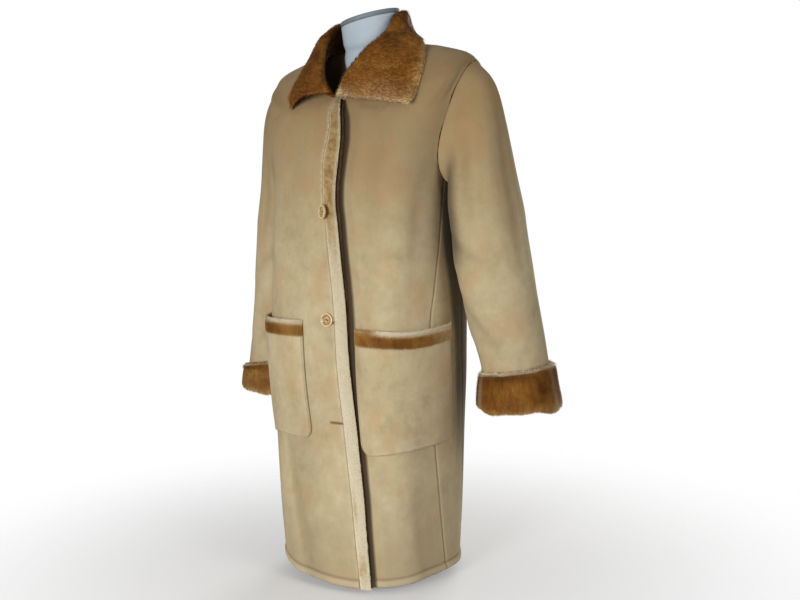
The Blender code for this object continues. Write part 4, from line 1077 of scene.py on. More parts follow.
def armhole_loop(side):
    """Edge points round the armhole from the shoulder down the front and up the back.

    Returns the points, the surface normals and the directions into the hole.
    """
    seam = SIDE_FRONT_SEAM[-1, 1]
    under = np.linspace(0, 1, 5)[1:-1]
    front_rows, back_rows = ARMHOLE_ROWS[::-1], ARMHOLE_ROWS[:-1]
    angles = side * np.concatenate([armhole_edge(front_rows, 1), seam + (SIDE_SEAM_DEG - seam) * under,
                                    armhole_edge(back_rows, 2)])
    dip = (ARMHOLE[0, 0] - ARMHOLE_FLOOR_ROW) * np.sin(np.pi * under)
    rows = np.concatenate([front_rows, ARMHOLE[0, 0] - dip, back_rows])
    edge = plain_body(angles, rows)
    normal = unit(plain_body(angles, rows, MM) - edge)
    along = unit(np.roll(edge, -1, axis=0) - np.roll(edge, 1, axis=0))
    into = unit(np.cross(normal, along))
    flip = np.sign(np.einsum("ij,ij->i", into, edge.mean(axis=0) - edge))[:, None]
    return edge + normal * crease_height(angles, rows)[:, None], normal, into * flip


def sleeve_ring(name, angles_deg, row, out=0.0):
    """Section of the sleeve: 0 degrees is outwards, 90 the front, 180 towards the body."""
    side = SIDE_SIGN[name]
    inwards, backwards, down, drawn_back = SLEEVE_SHIFT[name]
    angles_deg, row, out = np.broadcast_arrays(np.asarray(angles_deg, float), row, out)
    sections = smooth_rows(np.arange(len(SLEEVE_SECTIONS)), SLEEVE_SECTIONS, row)
    x, y, z, half_out, half_front, tilt = np.moveaxis(sections, -1, 0)
    angle, tilt = np.radians(angles_deg), np.radians(tilt)
    outwards_by = (half_out + out) * np.cos(angle)
    lower = ease(0.0, 4.0, row)
    half_front = half_front - drawn_back * (1 - lower)
    return np.stack([side * (x - inwards * lower + outwards_by * np.cos(tilt)),
                     y + drawn_back * (1 - lower) + backwards - (half_front + out) * np.sin(angle),
                     z - down + outwards_by * np.sin(tilt) + HEM_Z], axis=-1)


def outward_normals(grid):
    """Normals of a closed round grid, all pointing away from its middle."""
    normal = grid_normals(grid)
    return normal * np.sign(np.einsum("ijk,ijk->ij", normal, grid - grid.mean(axis=1, keepdims=True)).sum())


def sleeve_cap(name):
    """Rows of points from the armhole down to the first section, on curves that leave the hole
    outwards and come into the section along the arm."""
    side = SIDE_SIGN[name]
    edge, normal, into = armhole_loop(side)
    length = np.linalg.norm(np.roll(edge, -1, axis=0) - edge, axis=1)
    angles = 360.0 * np.concatenate([[0.0], np.cumsum(length)[:-1]]) / length.sum()
    axis_tilt = math.radians(SLEEVE_SECTIONS[0, 5])
    onwards = np.array([side * math.sin(axis_tilt), 0.0, -math.cos(axis_tilt)])
    start = edge + into * SEAM + normal * SEAM
    end = sleeve_ring(name, angles, 0.0)
    reach = np.linalg.norm(end - start, axis=1, keepdims=True)
    leave = unit(0.75 * into + 0.65 * normal + np.array([0.25 * side, 0.0, 0.0])
                 + onwards * (0.45 - 0.45 * np.cos(np.radians(angles)))[:, None])
    first = start + leave * reach * CAP_START_REACH
    second = end - onwards * reach * CAP_END_REACH
    share = np.linspace(0, 1, CAP_ROWS + 1)[:, None, None]
    cap = ((1 - share) ** 3 * start + 3 * (1 - share) ** 2 * share * first
           + 3 * (1 - share) * share ** 2 * second + share ** 3 * end)
    return angles, cap


def make_sleeve(name):
    """A sleeve from the armhole's edge to its end under the cuff."""
    angles, cap = sleeve_cap(name)
    coarse = np.concatenate([cap, sleeve_ring(name, angles[None, :], np.linspace(0.5, 5.0, 10)[:, None])])
    around = np.linspace(0, len(angles), 132, endpoint=False)
    down_at = np.concatenate([[0.0, 0.05, 0.12, 0.2], np.linspace(0.32, len(coarse) - 1, 124)])
    fine = through(np.moveaxis(through(np.moveaxis(coarse, 1, 0), around, closed=True), 0, 1), down_at)
    turned = through(np.concatenate([np.unwrap(np.radians(angles)), [2 * np.pi]]), around)
    degrees = np.degrees(turned)[None, :]
    share = (down_at / (len(coarse) - 1))[:, None]
    lift = line_field(degrees, share, SLEEVE_CREASES, SLEEVE_PER_DEGREE, SLEEVE_LENGTH)
    lift = lift * ease(0.06, 0.25, share) * fade(0.86, 0.95, share)
    sunk = np.clip(-lift / (2.5 * MM), 0.0, 1.0)
    head = 2.2 * MM * bell(share, 0.09, 0.06) * np.clip(np.cos(np.radians(degrees)), 0.0, 1.0)
    from_back = (degrees - 327.0 + 180.0) % 360.0 - 180.0
    slim = 5.5 * MM * bell(share, 0.22, 0.17) * bell(from_back, 0.0, 60.0)
    under_seam = bell((degrees - 205.0) * SLEEVE_PER_DEGREE, 0.0, 2.0 * MM)
    lift = lift + head - slim - 0.3 * MM * fade(0.0, 0.020, share) - 1.2 * MM * under_seam
    normal = outward_normals(fine)
    outer = fine + normal * lift[..., None]
    inner = fine + normal * (lift - CLOTH)[..., None]
    inner_front = ease(94.0, 126.0, degrees) * fade(200.0, 215.0, degrees)
    in_shade = 0.72 * inner_front * ease(0.02, 0.24, share) * fade(0.48, 0.64, share)
    low_shade = (0.09 if name == "left" else 0.0) * ease(0.62, 0.80, share)
    # dark seams, with painted shade in the creases' troughs
    dark = 0.25 * fade(0.0, 0.010, share) + 0.5 * under_seam + 0.30 * sunk
    suede_sheet(name + "_sleeve", outer, inner, painted(0.0, dark, np.maximum(in_shade, low_shade)), True)


# how light each cuff's pile is: the right cuff is painted lighter than the left, painted light on the same
# fur
CUFF_LIGHT = {"left": 0.50, "right": 0.70}
CUFF_TOP_DROP = 0.085
CUFF_TOP_SLANT = {"left": (-0.04, 0.03), "right": (0.16, -0.10)}
CUFF_FLARE = {"left": (-33.0, 5.0 * MM), "right": (20.0, 5.0 * MM)}
CUFF_HIGHLIGHTS = {
    # painted highlights and sheen on the plush: angle, way down the section, half widths of both, how cream
    "left": [(132.0, 3.0, 9.0, 1.8, 0.40), (8.0, 3.8, 5.0, 2.2, 0.30), (-8.0, 4.6, 16.0, 0.9, 0.95)],
    "right": [(30.0, 3.2, 12.0, 2.2, 0.55), (80.0, 4.8, 30.0, 0.9, 0.30)],
}


def make_cuff(name):
    """Turned-back cuff: a closed band section carried round the sleeve, as a skin that lies
    under the solid's face, with hairs over its outside, its rim and its fold."""
    top = CUFF_TOP_ROW[name] + CUFF_TOP_DROP
    section = np.array([
        # sleeve row, distance out of the sleeve's face
        (top, REST), (top - 0.02, 0.5 * PILE), (top + 0.05, PILE), (4.55, PILE + 3.0 * MM),
        (4.95, PILE + 3.5 * MM), (5.07, PILE), (5.11, 2.0 * MM), (5.07, -CLOTH), (5.0, -CLOTH),
        (5.0, REST), (4.5, REST)])
    drop = np.clip(section[:, 0] - 5.0, 0.0, None)
    below = np.where(section[:, 0] == 5.0, SEAM, CUFF_FOLD_DEPTH * drop)
    angles = np.linspace(0, 360, 150, endpoint=False)[:, None]
    radians = np.radians(angles)
    outward_slant, front_slant = CUFF_TOP_SLANT[name]
    near_top = np.array([1.0, 1.0, 1.0, 0.25] + [0.0] * 7)
    slanted = outward_slant * np.cos(radians) + front_slant * np.sin(radians)
    section_rows = section[:, 0] + slanted * near_top
    flare_at, flare = CUFF_FLARE[name]
    flared = flare * np.clip(np.cos(np.radians(angles - flare_at)), 0.0, 1.0) ** 2
    near_top[0] = 0.0
    loops = sleeve_ring(name, angles, section_rows, section[:, 1] + flared * near_top)
    loops = loops - UPRIGHT * below[None, :, None]
    at = np.concatenate([np.linspace(0, 8, 50), np.linspace(8.25, 10.9, 10)])
    fine = np.moveaxis(through(np.moveaxis(loops, 1, 0), at, closed=True), 0, 1)
    wave = (1.3 * np.sin(4 * radians + 1.0) + 0.9 * np.sin(7 * radians + 0.4)) * MM
    outside = ease(0.4, 1.4, at) * fade(6.0, 7.2, at)
    low_part = ease(3.0, 5.0, at) * fade(6.4, 7.4, at)
    core = fine.mean(axis=1, keepdims=True)
    normal = np.moveaxis(grid_normals(np.moveaxis(fine, 1, 0)), 1, 0)
    normal = normal * np.sign(np.einsum("ijk,ijk->ij", normal, fine - core).sum())
    fine = fine + normal * (outside * (wave - 1.9 * MM))[..., None]
    fine = fine - UPRIGHT * (low_part * (wave * 0.9 + 0.6 * MM))[..., None]
    rim = bell(at, 0.95, 0.45)
    bumps = 0.9 * MM * np.sin(23 * radians) * np.sin(37 * radians + 1.0)
    fine = fine + (normal + UPRIGHT) * (rim * bumps)[..., None]
    fold = ease(3.6, 4.6, at)
    # dark patches, a darker band below the rim and a lighter fold: painted light and shade of the plush's
    # sheen
    patch = 0.5 + 0.5 * np.sin(3 * radians + 0.5) * np.sin(2.3 * at + 1.2)
    light = CUFF_LIGHT[name] + 0.28 * fold - 0.46 * patch * (1 - 0.8 * fold) - 0.20 * bell(at, 2.0, 0.5)
    cream = 0.95 * rim + 0.06 * fold * (0.5 + 0.5 * np.sin(2 * radians + 2.2))
    # painted highlights and sheen, laid on as cream
    for place, way, wide, tall, pale in CUFF_HIGHLIGHTS[name]:
        away = (angles - place + 180.0) % 360.0 - 180.0
        cream = cream + pale * bell(away, 0.0, wide) * bell(at, way, tall)
    tint = skin_tint(light + 0.5 * rim, np.maximum(cream * 0.6, rim))
    skin = loop_solid(name + "_cuff", fine, BROWN_PILE, True, tint)
    nap = unit(np.roll(fine, -1, axis=1) - np.roll(fine, 1, axis=1))
    shown, rim_rows = (at > 0.1) & (at < 7.6), (at > 0.2) & (at < 1.5)
    piece = (fine[:, shown], normal[:, shown], nap[:, shown], 7.0 * MM, 2.3 * MM, light[:, shown],
             cream[:, shown], 4.2e5)
    facing = unit((fine - core)[:, rim_rows] * np.array([1.0, 1.0, 0.0]))
    fuzz = (fine[:, rim_rows], facing, UPRIGHT + 0.3 * facing, 3.6 * MM, 1.8 * MM, 1.0, 1.0, 9.0e5)
    hairs = blades(name + "_cuff_hairs", [piece], BROWN_PILE, 0.85 * MM)
    pale = blades(name + "_cuff_rim", [fuzz], EDGE_PILE, 0.9 * MM)
    flat = np.moveaxis(fine[:, (at > 0.4) & (at < 6.2)], 0, 1)
    flat = np.concatenate([flat, flat[:, :1]], axis=1)
    finish_sheet(skin, name + "_cuff", flat, [hairs, pale])


# ------------------------------------------------------------------------ the collar

def clear_of_body(points, gap):
    """Points pushed out along the body's normal wherever they lie closer to it than the gap."""
    angles, rows = np.meshgrid(np.arange(-180.0, 180.0, 2.5), np.linspace(7.5, NECK_ROW, 60))
    near = plain_body(angles, rows).reshape(-1, 3)
    normal = body_normal(angles, rows).reshape(-1, 3)
    closest = np.stack([((line[:, None] - near[None]) ** 2).sum(axis=-1).argmin(axis=1) for line in points])
    height = np.einsum("ijk,ijk->ij", points - near[closest], normal[closest])
    push = np.clip(gap - height, 0.0, None)[..., None] * normal[closest]
    for axis in (0, 1, 0, 1):
        ends = np.concatenate([np.take(push, [0], axis), push, np.take(push, [-1], axis)], axis)
        size = push.shape[axis]
        push = sum(np.take(ends, np.arange(shift, size + shift), axis) for shift in (0, 1, 2)) / 3
    return points + push


def collar_profile():
    """The middle surface of the collar's stand, roll and leaf round the neckline, the way along
    the profile, the station along the collar and the two lines of the stand's foot."""
    turned = np.linspace(COLLAR_END_DEG, 180.0, 84)
    neck_angle = np.concatenate([-turned, turned[-2::-1]])
    station = np.sign(neck_angle) * (180.0 - np.abs(neck_angle)) / (180.0 - COLLAR_END_DEG)
    values = smooth_rows(COLLAR[:, 0], COLLAR[:, 1:], station)
    lift = np.array([0.0, 0.0, HEM_Z])
    roll_line, edge_line, bow = values[:, 0:3] + lift, values[:, 3:6] + lift, values[:, 6:7]
    neck_row = np.full(neck_angle.shape, NECK_ROW)
    drop = np.where(neck_angle > 0, lap_drop(neck_angle, neck_row), 0.0)
    drop = np.where(np.abs(neck_angle) < TRIM_TOP_DEG, EDGE_TRIM_PROUD, drop)
    below = body_surface(neck_angle, neck_row) - body_surface(neck_angle, neck_row - 0.2)
    per_row = np.linalg.norm(below, axis=-1) / 0.2
    foot = np.stack([plain_body(neck_angle, neck_row - COLLAR_FOOT / per_row, drop + REST),
                     plain_body(neck_angle, neck_row, drop + REST)])
    base = foot.mean(axis=0)
    up = unit(roll_line - base)
    out = edge_line - roll_line
    out = unit(out - up * np.einsum("ij,ij->i", out, up)[:, None])
    to_front = ease(0.5, 0.9, np.abs(station))
    roll_radius = (ROLL_RADIUS_BACK + (ROLL_RADIUS_FRONT - ROLL_RADIUS_BACK) * to_front)[:, None]
    low_roll = roll_line - up * roll_radius
    middle = low_roll + out * roll_radius
    fall = unit(edge_line - middle)
    turn = np.arctan2(np.einsum("ij,ij->i", fall, out), np.einsum("ij,ij->i", fall, up))[:, None]
    stand = np.linspace(0, 1, 12)[:, None, None]
    bend = np.linspace(0, 1, 13)[1:, None, None]
    leaf = np.concatenate([np.linspace(0, 0.92, 24)[1:], [0.945, 0.965, 0.98, 0.992, 1.0]])[:, None, None]
    around_roll = middle + roll_radius * (up * np.sin(turn * bend) - out * np.cos(turn * bend))
    start = around_roll[-1]
    side = unit(np.cross(np.cross(fall, up), fall))
    control = 0.5 * (start + edge_line) + side * bow * 2
    down_leaf = (1 - leaf) ** 2 * start + 2 * leaf * (1 - leaf) * control + leaf ** 2 * edge_line
    grid = np.concatenate([base + (low_roll - base) * stand, around_roll, down_leaf])
    grid[15:] = clear_of_body(grid[15:], 0.5 * PILE + COLLAR_REST)
    return grid, np.concatenate([stand.ravel(), 1 + bend.ravel(), 2 + leaf.ravel()])[:, None], station, foot


def collar_paint(way, station, to_end, creases):
    """How light and how cream the collar's pile is at each place."""
    right_side = ease(-0.25, -0.6, station)
    low_edge, lip = ease(2.72, 3.0, way), ease(2.86, 2.97, way)
    light = 0.37 - 0.25 * right_side + 0.08 * low_edge + 0.24 * lip + 0.06 * fade(0.004, 0.030, to_end)
    # painted shade on the stand, inside the collar under its roll; a darker patch on the left leaf
    light = light - 0.36 * fade(0.55, 1.25, way) - 0.20 * bell(station, 0.72, 0.13) * bell(way, 1.95, 0.42)
    # painted shade in the creases' troughs
    light = light - 0.42 * np.clip(-creases / (3.0 * MM), 0.0, 1.0) + 0.16 * right_side * low_edge
    on_left = ease(0.0, 1.0, station)
    corner = fade(0.006, 0.024, to_end) * on_left * fade(1.75, 2.35, way)
    # paler and creamier towards the front end of the left leaf
    pale_leaf_end = ease(0.82, 0.97, station) * ease(2.0, 2.6, way)
    roll_edge = bell(way, 1.45, 0.15) * ease(0.40, 0.60, station)
    left_end = fade(0.002, 0.008, to_end) * on_left
    cream = 0.12 * lip + 0.40 * left_end + 0.70 * corner + 0.16 * pale_leaf_end + 0.55 * roll_edge
    return light + 0.22 * corner + 0.10 * pale_leaf_end, cream * (1 - 0.6 * right_side)


COLLAR_CREASES = [
    # station, way, end_station, end_way, half_width, depth_mm
    (0.50, 1.05, 0.56, 2.2, 0.030, -3.0),
    (0.38, 1.50, 0.55, 2.6, 0.013, -3.5),
    (0.56, 1.0, 0.66, 2.6, 0.040, 2.0),
    (0.80, 1.2, 0.86, 2.8, 0.050, 1.6),
    (-0.82, 1.1, -0.78, 2.7, 0.050, 1.4),
    (-0.66, 1.0, -0.60, 2.6, 0.040, -1.6),
    (-0.15, 1.2, -0.12, 2.8, 0.040, -1.6),
    (0.18, 1.2, 0.20, 2.8, 0.040, -1.6),
]


def make_collar():
    """Stand, roll and leaf carried round the neckline as one profile. The way along the profile
    is 0 to 1 up the stand, 1 to 2 round the roll and 2 to 3 down the leaf."""
    grid, way, station, foot = collar_profile()
    normal = unit(np.cross(np.gradient(grid, axis=1), np.gradient(grid, axis=0)))
    if np.linalg.norm((grid + normal * MM)[0] - foot[0]) > np.linalg.norm((grid - normal * MM)[0] - foot[0]):
        normal = -normal
    creases = line_field(station[None, :], way, COLLAR_CREASES, METRES_PER_STATION, METRES_PER_WAY)
    grid = grid + normal * (creases * ease(1.0, 1.3, way))[..., None]
    to_end = (1 - np.abs(station)) * 0.5 * COLLAR_LENGTH
    thick = 0.5 * PILE * np.interp(way, [0, 0.5, 1, 2.90, 2.97, 3.0], [0.6, 0.9, 1, 1, 0.86, 0.45])
    thick = thick * (0.45 + 0.55 * np.sqrt(1 - (1 - np.clip(to_end / (7 * MM), 0, 1)) ** 2))[None, :]
    skin_half = np.maximum(thick - 2.3 * MM, 0.35 * MM)[..., None]
    outer, inner = grid + normal * skin_half, grid - normal * skin_half
    outer[0], inner[0] = foot
    inner[0, :, 2] -= 3.5 * MM
    light, cream = collar_paint(way, station[None, :], to_end[None, :], creases)
    skin = wall("collar", outer, inner, BROWN_PILE, BROWN_PILE, tint=skin_tint(light, cream))
    downwards, outer_ends = np.gradient(grid, axis=0), np.gradient(grid, axis=1)
    nap = unit(unit(downwards) + 0.25 * unit(outer_ends * np.sign(station)[None, :, None]))
    over, rim = slice(6, None), slice(-6, None)
    patches = [
        (outer[over], normal[over], nap[over], 7.0 * MM, 2.6 * MM, light[over], cream[over], 3.3e5),
        # hairs on the underside, painted darker and less cream: painted shade under the leaf
        (inner[over], -normal[over], nap[over], 6.5 * MM, 2.2 * MM, light[over] - 0.18, cream[over] * 0.4,
         2.0e5),
        (outer[rim], unit(unit(downwards[rim]) * 0.25 + normal[rim]), nap[rim], 5.5 * MM, 2.4 * MM,
         light[rim] + 0.1, cream[rim] + 0.15, 6.0e5)]
    for column, sign in ((0, -1), (-1, 1)):
        ways = unit(outer_ends * sign), unit(downwards)
        ways = [np.repeat(field[6:, [column]], 3, axis=1) for field in ways]
        first, last = outer[6:, column], inner[6:, column]
        strip = np.stack([first, 0.5 * (first + last), last], axis=1)
        patches.append((strip, *ways, 5.5 * MM, 2.4 * MM, light[6:, [column]], cream[6:, [column]], 6.0e5))
    hairs = blades("collar_hairs", patches, BROWN_PILE, 0.85 * MM)
    finish_sheet(skin, "collar", outer, [hairs])


# ------------------------------------------------------- pockets, buttons and stitches

POCKET_TOP_SAG = 0.045
POCKET_CORNER = 0.020


def pocket_place(facts, across, upwards, band=False):
    """Angle, ring row and lap drop of each place of a pocket, with its lower corners rounded."""
    side, in_top, out_top, in_low, out_low, top_in, top_out, low_in, low_out = facts
    top = top_in + (top_out - top_in) * across - BAND_ROWS
    if side > 0:
        sag = (1 - across) ** 3 - 0.7 * np.sin(np.pi * across) ** 2 + 0.5 * across ** 4
        top = top + POCKET_TOP_SAG * sag
    if band:
        gap = SEAM / BAND_METRES_PER_ROW
        rows = top + gap + (BAND_ROWS - gap) * upwards
        angles = in_top + (out_top - in_top) * across + 0 * upwards
    else:
        low = low_in + (low_out - low_in) * across
        rows = low + (top - low) * upwards
        cut = round_over((rows - low) * METRES_PER_ROW, POCKET_CORNER) / METRES_PER_DEGREE * 0.9
        near = in_low + (in_top - in_low) * upwards + cut
        far = out_low + (out_top - out_low) * upwards - cut
        angles = near + (far - near) * across
    return side * angles, rows, lap_drop(angles, rows) if side > 0 else np.zeros(angles.shape)


def pocket_room(across, upwards):
    """Hollow between a pocket and the front it is sewn to: none at its two sides and its foot."""
    open_sides = np.minimum(ease(0, POCKET_EASE, across), ease(0, POCKET_EASE, 1 - across))
    return REST + (POCKET_ROOM - REST) * open_sides * ease(0, 0.75, upwards)


POCKET_STITCH_IN = 3.4 * MM


def make_pocket(name, facts):
    """A patch pocket that stands a little off its front."""
    across = crowded(60, 0.03, 5)[None, :]
    upwards = np.concatenate([0.05 * np.linspace(0, 1, 6)[:-1] ** 1.5, np.linspace(0.05, 0.97, 56),
                              1 - 0.03 * np.linspace(1, 0, 5)[1:] ** 1.5])[:, None]
    angles, rows, drop = pocket_place(facts, across, upwards)
    flat = plain_body(angles, rows)
    to_edge = np.minimum(to_ends(run_along(flat, 1), 1), run_along(flat, 0))
    puckered = POCKET_STITCH_IN + 0.5 * MM * np.sin(rows * 37.0 + across * 41.0)
    stitch_line = bell(to_edge, puckered, 0.9 * MM)
    sag = 1.2 * MM * np.sin(np.pi * across) * np.sin(2.2 * np.pi * upwards + 0.6) * ease(0, 0.2, upwards)
    room = drop + pocket_room(across, upwards)
    out = room + POCKET_WALL - round_over(to_edge, 1.8 * MM) - 0.9 * MM * stitch_line + sag
    # painted highlight on the puffed band just inside the topstitching
    painted_highlight = 0.25 * bell(to_edge, POCKET_STITCH_IN + 2.5 * MM, 1.5 * MM)
    dark = 0.62 * fade(0.0, 1.2 * MM, to_edge) + 0.30 * stitch_line
    outer, inner = coat_point(angles, rows, out), coat_point(angles, rows, room + sag * 0.8)
    front = name.replace("pocket", "front")
    suede_sheet(name, outer, inner, painted(painted_highlight, dark, 0.0), rests_on=front)


def make_pocket_band(name, facts):
    """The pile band along a pocket's mouth, with longer pale hairs on its upper edge."""
    side = facts[0]
    across = crowded(60, 0.03, 5)[None, :]
    upwards = np.concatenate([np.linspace(0, 0.9, 12), [0.94, 0.97, 0.99, 1.0]])[:, None]
    angles, rows, drop = pocket_place(facts, across, upwards, band=True)
    room = drop + pocket_room(across, 1.0)
    to_side = to_ends(run_along(plain_body(angles, rows), 1), 1)
    belly = BAND_PROUD * np.sin(np.pi * (0.10 + 0.84 * upwards)) ** 0.6
    stand = room + POCKET_WALL + belly - 2.0 * MM - round_over(to_side, 4.0 * MM)
    outer = coat_point(angles, rows, np.maximum(stand, room + 1.0 * MM))
    inner = coat_point(angles, rows, room)
    fuzzy = ease(0.12, 0.26, across) if side > 0 else fade(0.55, 0.80, across)
    top_fuzz = ease(0.70, 0.92, upwards) * (0.10 + 0.90 * fuzzy)
    low_fuzz = 0.5 * fade(0.0, 0.12, upwards) * fade(0.3, 0.6, across)
    outer_end = ease(0.62, 0.95, across)
    base, end_cream = (0.56, 0.45) if side > 0 else (0.62, 0.35)
    light = base + 0.10 * outer_end + 0.08 * np.sin(across * 17.0) - 0.30 * bell(across, 0.42, 0.16)
    cream = np.clip(top_fuzz + low_fuzz + end_cream * outer_end, 0, 1)
    skin = wall(name + "_band", outer, inner, BROWN_PILE, LINING, tint=skin_tint(light, cream))
    normal = body_normal(angles, rows)
    raised = coat_point(angles, rows + 0.05) - coat_point(angles, rows)
    face = (outer, normal, -unit(raised), 4.6 * MM, 1.7 * MM, light, cream, 9.0e5)
    lip = slice(-6, None)
    tuft = (outer[lip], normal[lip], raised[lip], 4.2 * MM, 2.0 * MM, 0.20 + 0.80 * fuzzy, fuzzy, 1.4e6)
    hairs = blades(name + "_band_hairs", [face], BROWN_PILE, 0.65 * MM)
    pale = blades(name + "_band_top", [tuft], EDGE_PILE, 0.8 * MM)
    finish_sheet(skin, name + "_band", outer, [hairs, pale])


def seat_of(row, angle, lift, turned):
    """Centre and the three directions of a button: to its right, upwards, and out of its face."""
    seat = coat_point(angle, row)
    normal = unit(body_normal(np.asarray(angle, float), np.asarray(row, float)))
    upwards = unit(np.array([0.0, 0.0, 1.0]) - normal * normal[2])
    sideways = np.cross(upwards, normal)
    tip = math.radians(turned)
    face = normal * math.cos(tip) + sideways * math.sin(tip)
    right = sideways * math.cos(tip) - normal * math.sin(tip)
    return seat + normal * (lift + BUTTON_RADIUS * abs(math.sin(tip))), right, upwards, face


def make_button(name, row, angle, turned, lift):
    """Lathe of a rim, a dished face and a rounded back, with two deep holes pressed into the dish
    and a few turns of thread between them."""
    centre, right, upwards, face = seat_of(row, angle, lift, turned)

    def on_button(x, y, high):
        """Points at shares of the radius to the right and upwards, and of the thickness."""
        return (centre + BUTTON_RADIUS * (x[..., None] * right + y[..., None] * upwards)
                + face * BUTTON_THICKNESS * high[..., None])

    profile = np.array([
        # share of the radius, share of the thickness
        (0.55, 0.02), (0.86, 0.0), (0.97, 0.18), (1.0, 0.5), (0.975, 0.82), (0.90, 0.99), (0.82, 1.0),
        (0.75, 0.86), (0.66, 0.62), (0.5, 0.52), (0.3, 0.47), (0.12, 0.46)])
    stops = np.linspace(0, len(profile) - 1, 56)
    radius, height = through(profile, stops).T
    spin = np.radians(np.linspace(0, 360, 72, endpoint=False))
    x, y = radius[:, None] * np.cos(spin), radius[:, None] * np.sin(spin)
    stops = stops[:, None]
    slant = math.radians(-38.0)
    away = [np.hypot(x - hole_x * math.cos(slant), y - hole_x * math.sin(slant)) for hole_x in (-0.17, 0.17)]
    # painted numbers: a painted highlight on the rim, a darker dish and painted shade in the holes
    hole = fade(0.055, 0.115, np.minimum(*away)) * (stops > 6.5)
    rim = bell(stops, 5.6, 0.9)
    dish = ease(6.8, 7.8, stops) * fade(8.6, 10.5, stops)
    body = on_button(x, y, height[:, None] - 0.38 * hole)
    finish_part(loop_solid(name, body, HORN, tint=painted(rim, dish, hole)), "button", name)

    across = np.linspace(-0.17, 0.17, 9)[None, :]
    beside = np.linspace(-0.035, 0.035, 5)[:, None]
    bow = 0.54 + 0.20 * np.cos(np.pi * across / 0.34) - 0.10 * (across / 0.17) ** 8
    paths = on_button(across * math.cos(slant) - beside * math.sin(slant),
                      across * math.sin(slant) + beside * math.cos(slant), bow + 0 * beside)
    finish_part(tubes(name + "_thread", paths, 0.32 * MM, BROWN_THREAD), "button")


BUTTONHOLES = [
    # ring row, angle of its middle, length, open half width, turned
    (5.52, 1.2, 24.0 * MM, 0.9 * MM, 3.0),
    (3.74, 3.0, 26.0 * MM, 0.9 * MM, -4.0),
    (2.30, 3.0, 25.0 * MM, 0.55 * MM, 0.0),
    (9.30, -5.8, 16.0 * MM, 0.9 * MM, -45.0),
]


def make_buttonholes():
    """Worked buttonholes: a dark sheet in each slit, painted shade of the opening, between two
    rows of close cross stitches.
    """
    stitches, slits, faces = [], [], []
    for row, angle, length, half_width, turned in BUTTONHOLES:
        tilt = math.radians(turned)

        def on_cloth(u, v, lift):
            """Points at distances along and across the buttonhole, lifted off the cloth."""
            right, upwards = u * math.cos(tilt) - v * math.sin(tilt), u * math.sin(tilt) + v * math.cos(tilt)
            return coat_point(angle + right / METRES_PER_DEGREE, row + upwards / METRES_PER_ROW, lift)

        along = np.linspace(-0.5, 0.5, 34)[:, None] * length
        over = np.linspace(0, 1, 6)[None, :]
        for sign in (-1, 1):
            u = along + random.normal(0, 0.12 * MM, (34, 1)) + 0 * over
            v = sign * (half_width + 1.9 * MM * over)
            stitches.append(on_cloth(u, v, 0.15 * MM + 0.55 * MM * np.sin(np.pi * over)))
        u = np.linspace(-0.5, 0.5, 25)[:, None] * length
        v = np.linspace(-1, 1, 5)[None, :] * half_width * np.sqrt(np.clip(1.02 - (2 * u / length) ** 2, 0, 1))
        faces += [part + 2 * v.size * len(slits) for part in wall_faces(*v.shape)]
        slits.append([on_cloth(u, v, 0.25 * MM), on_cloth(u, v, -0.5 * MM)])
    thread = tubes("buttonhole_stitches", np.concatenate(stitches), 0.36 * MM, TAN_THREAD, 5)
    finish_part(thread, "suede")
    # the slits are dark sheets: painted shade in the openings
    vertices = np.array(slits).reshape(-1, 3)
    finish_part(make_mesh("buttonhole_slits", vertices, outwards(vertices, faces), [BROWN_THREAD]), "suede")


def running_stitches(angles, rows, out, gap):
    """Short arcs of thread along a line on the cloth, each one stitch long with a gap after it."""
    line, normals = coat_point(angles, rows, out), body_normal(angles, rows)
    length = run_along(line, 0)
    stitch = 3.0 * MM
    begin = (np.arange(int(length[-1] / (stitch + gap))) * (stitch + gap))[:, None]
    share = np.linspace(0, 1, 6)
    points, normal = [np.stack([np.interp(begin + stitch * share, length, field[:, k]) for k in range(3)],
                               axis=-1) for field in (line, normals)]
    return points + unit(normal) * (0.35 * MM * np.sin(np.pi * share) + 0.02 * MM)[None, :, None]


def make_stitches():
    """Topstitching round each pocket and above the hem."""
    found = []
    for facts in POCKETS.values():
        inset_across, inset_up = POCKET_STITCH_IN / POCKET_WIDTH, POCKET_STITCH_IN / POCKET_HEIGHT
        down = np.linspace(1, inset_up, 90)
        across = np.concatenate([np.full(90, inset_across), np.linspace(inset_across, 1 - inset_across, 120),
                                 np.full(90, 1 - inset_across)])
        upwards = np.concatenate([down, np.full(120, inset_up), down[::-1]])
        angles, rows, drop = pocket_place(facts, across, upwards)
        out = drop + pocket_room(across, upwards) + POCKET_WALL - 0.75 * MM
        found.append(running_stitches(angles, rows, out, 0.9 * MM))
    angles = np.linspace(closing_edge(HEM_GROOVE) + 0.5, 360.0 + trim_seam(HEM_GROOVE) - 0.6, 700)
    rows = np.full(angles.shape, HEM_GROOVE)
    lapped = angles < closing_edge(HEM_GROOVE) + LAP_SLOPE_DEG
    out = np.where(lapped, lap_drop(angles, rows), 0.0) + hem_roll(rows) + 0.1 * MM
    found.append(running_stitches(angles, rows, out, 1.0 * MM))
    finish_part(tubes("topstitching", np.concatenate(found), 0.26 * MM, TAN_THREAD, 5), "suede")


# -------------------------------------------------------------------- the dress form

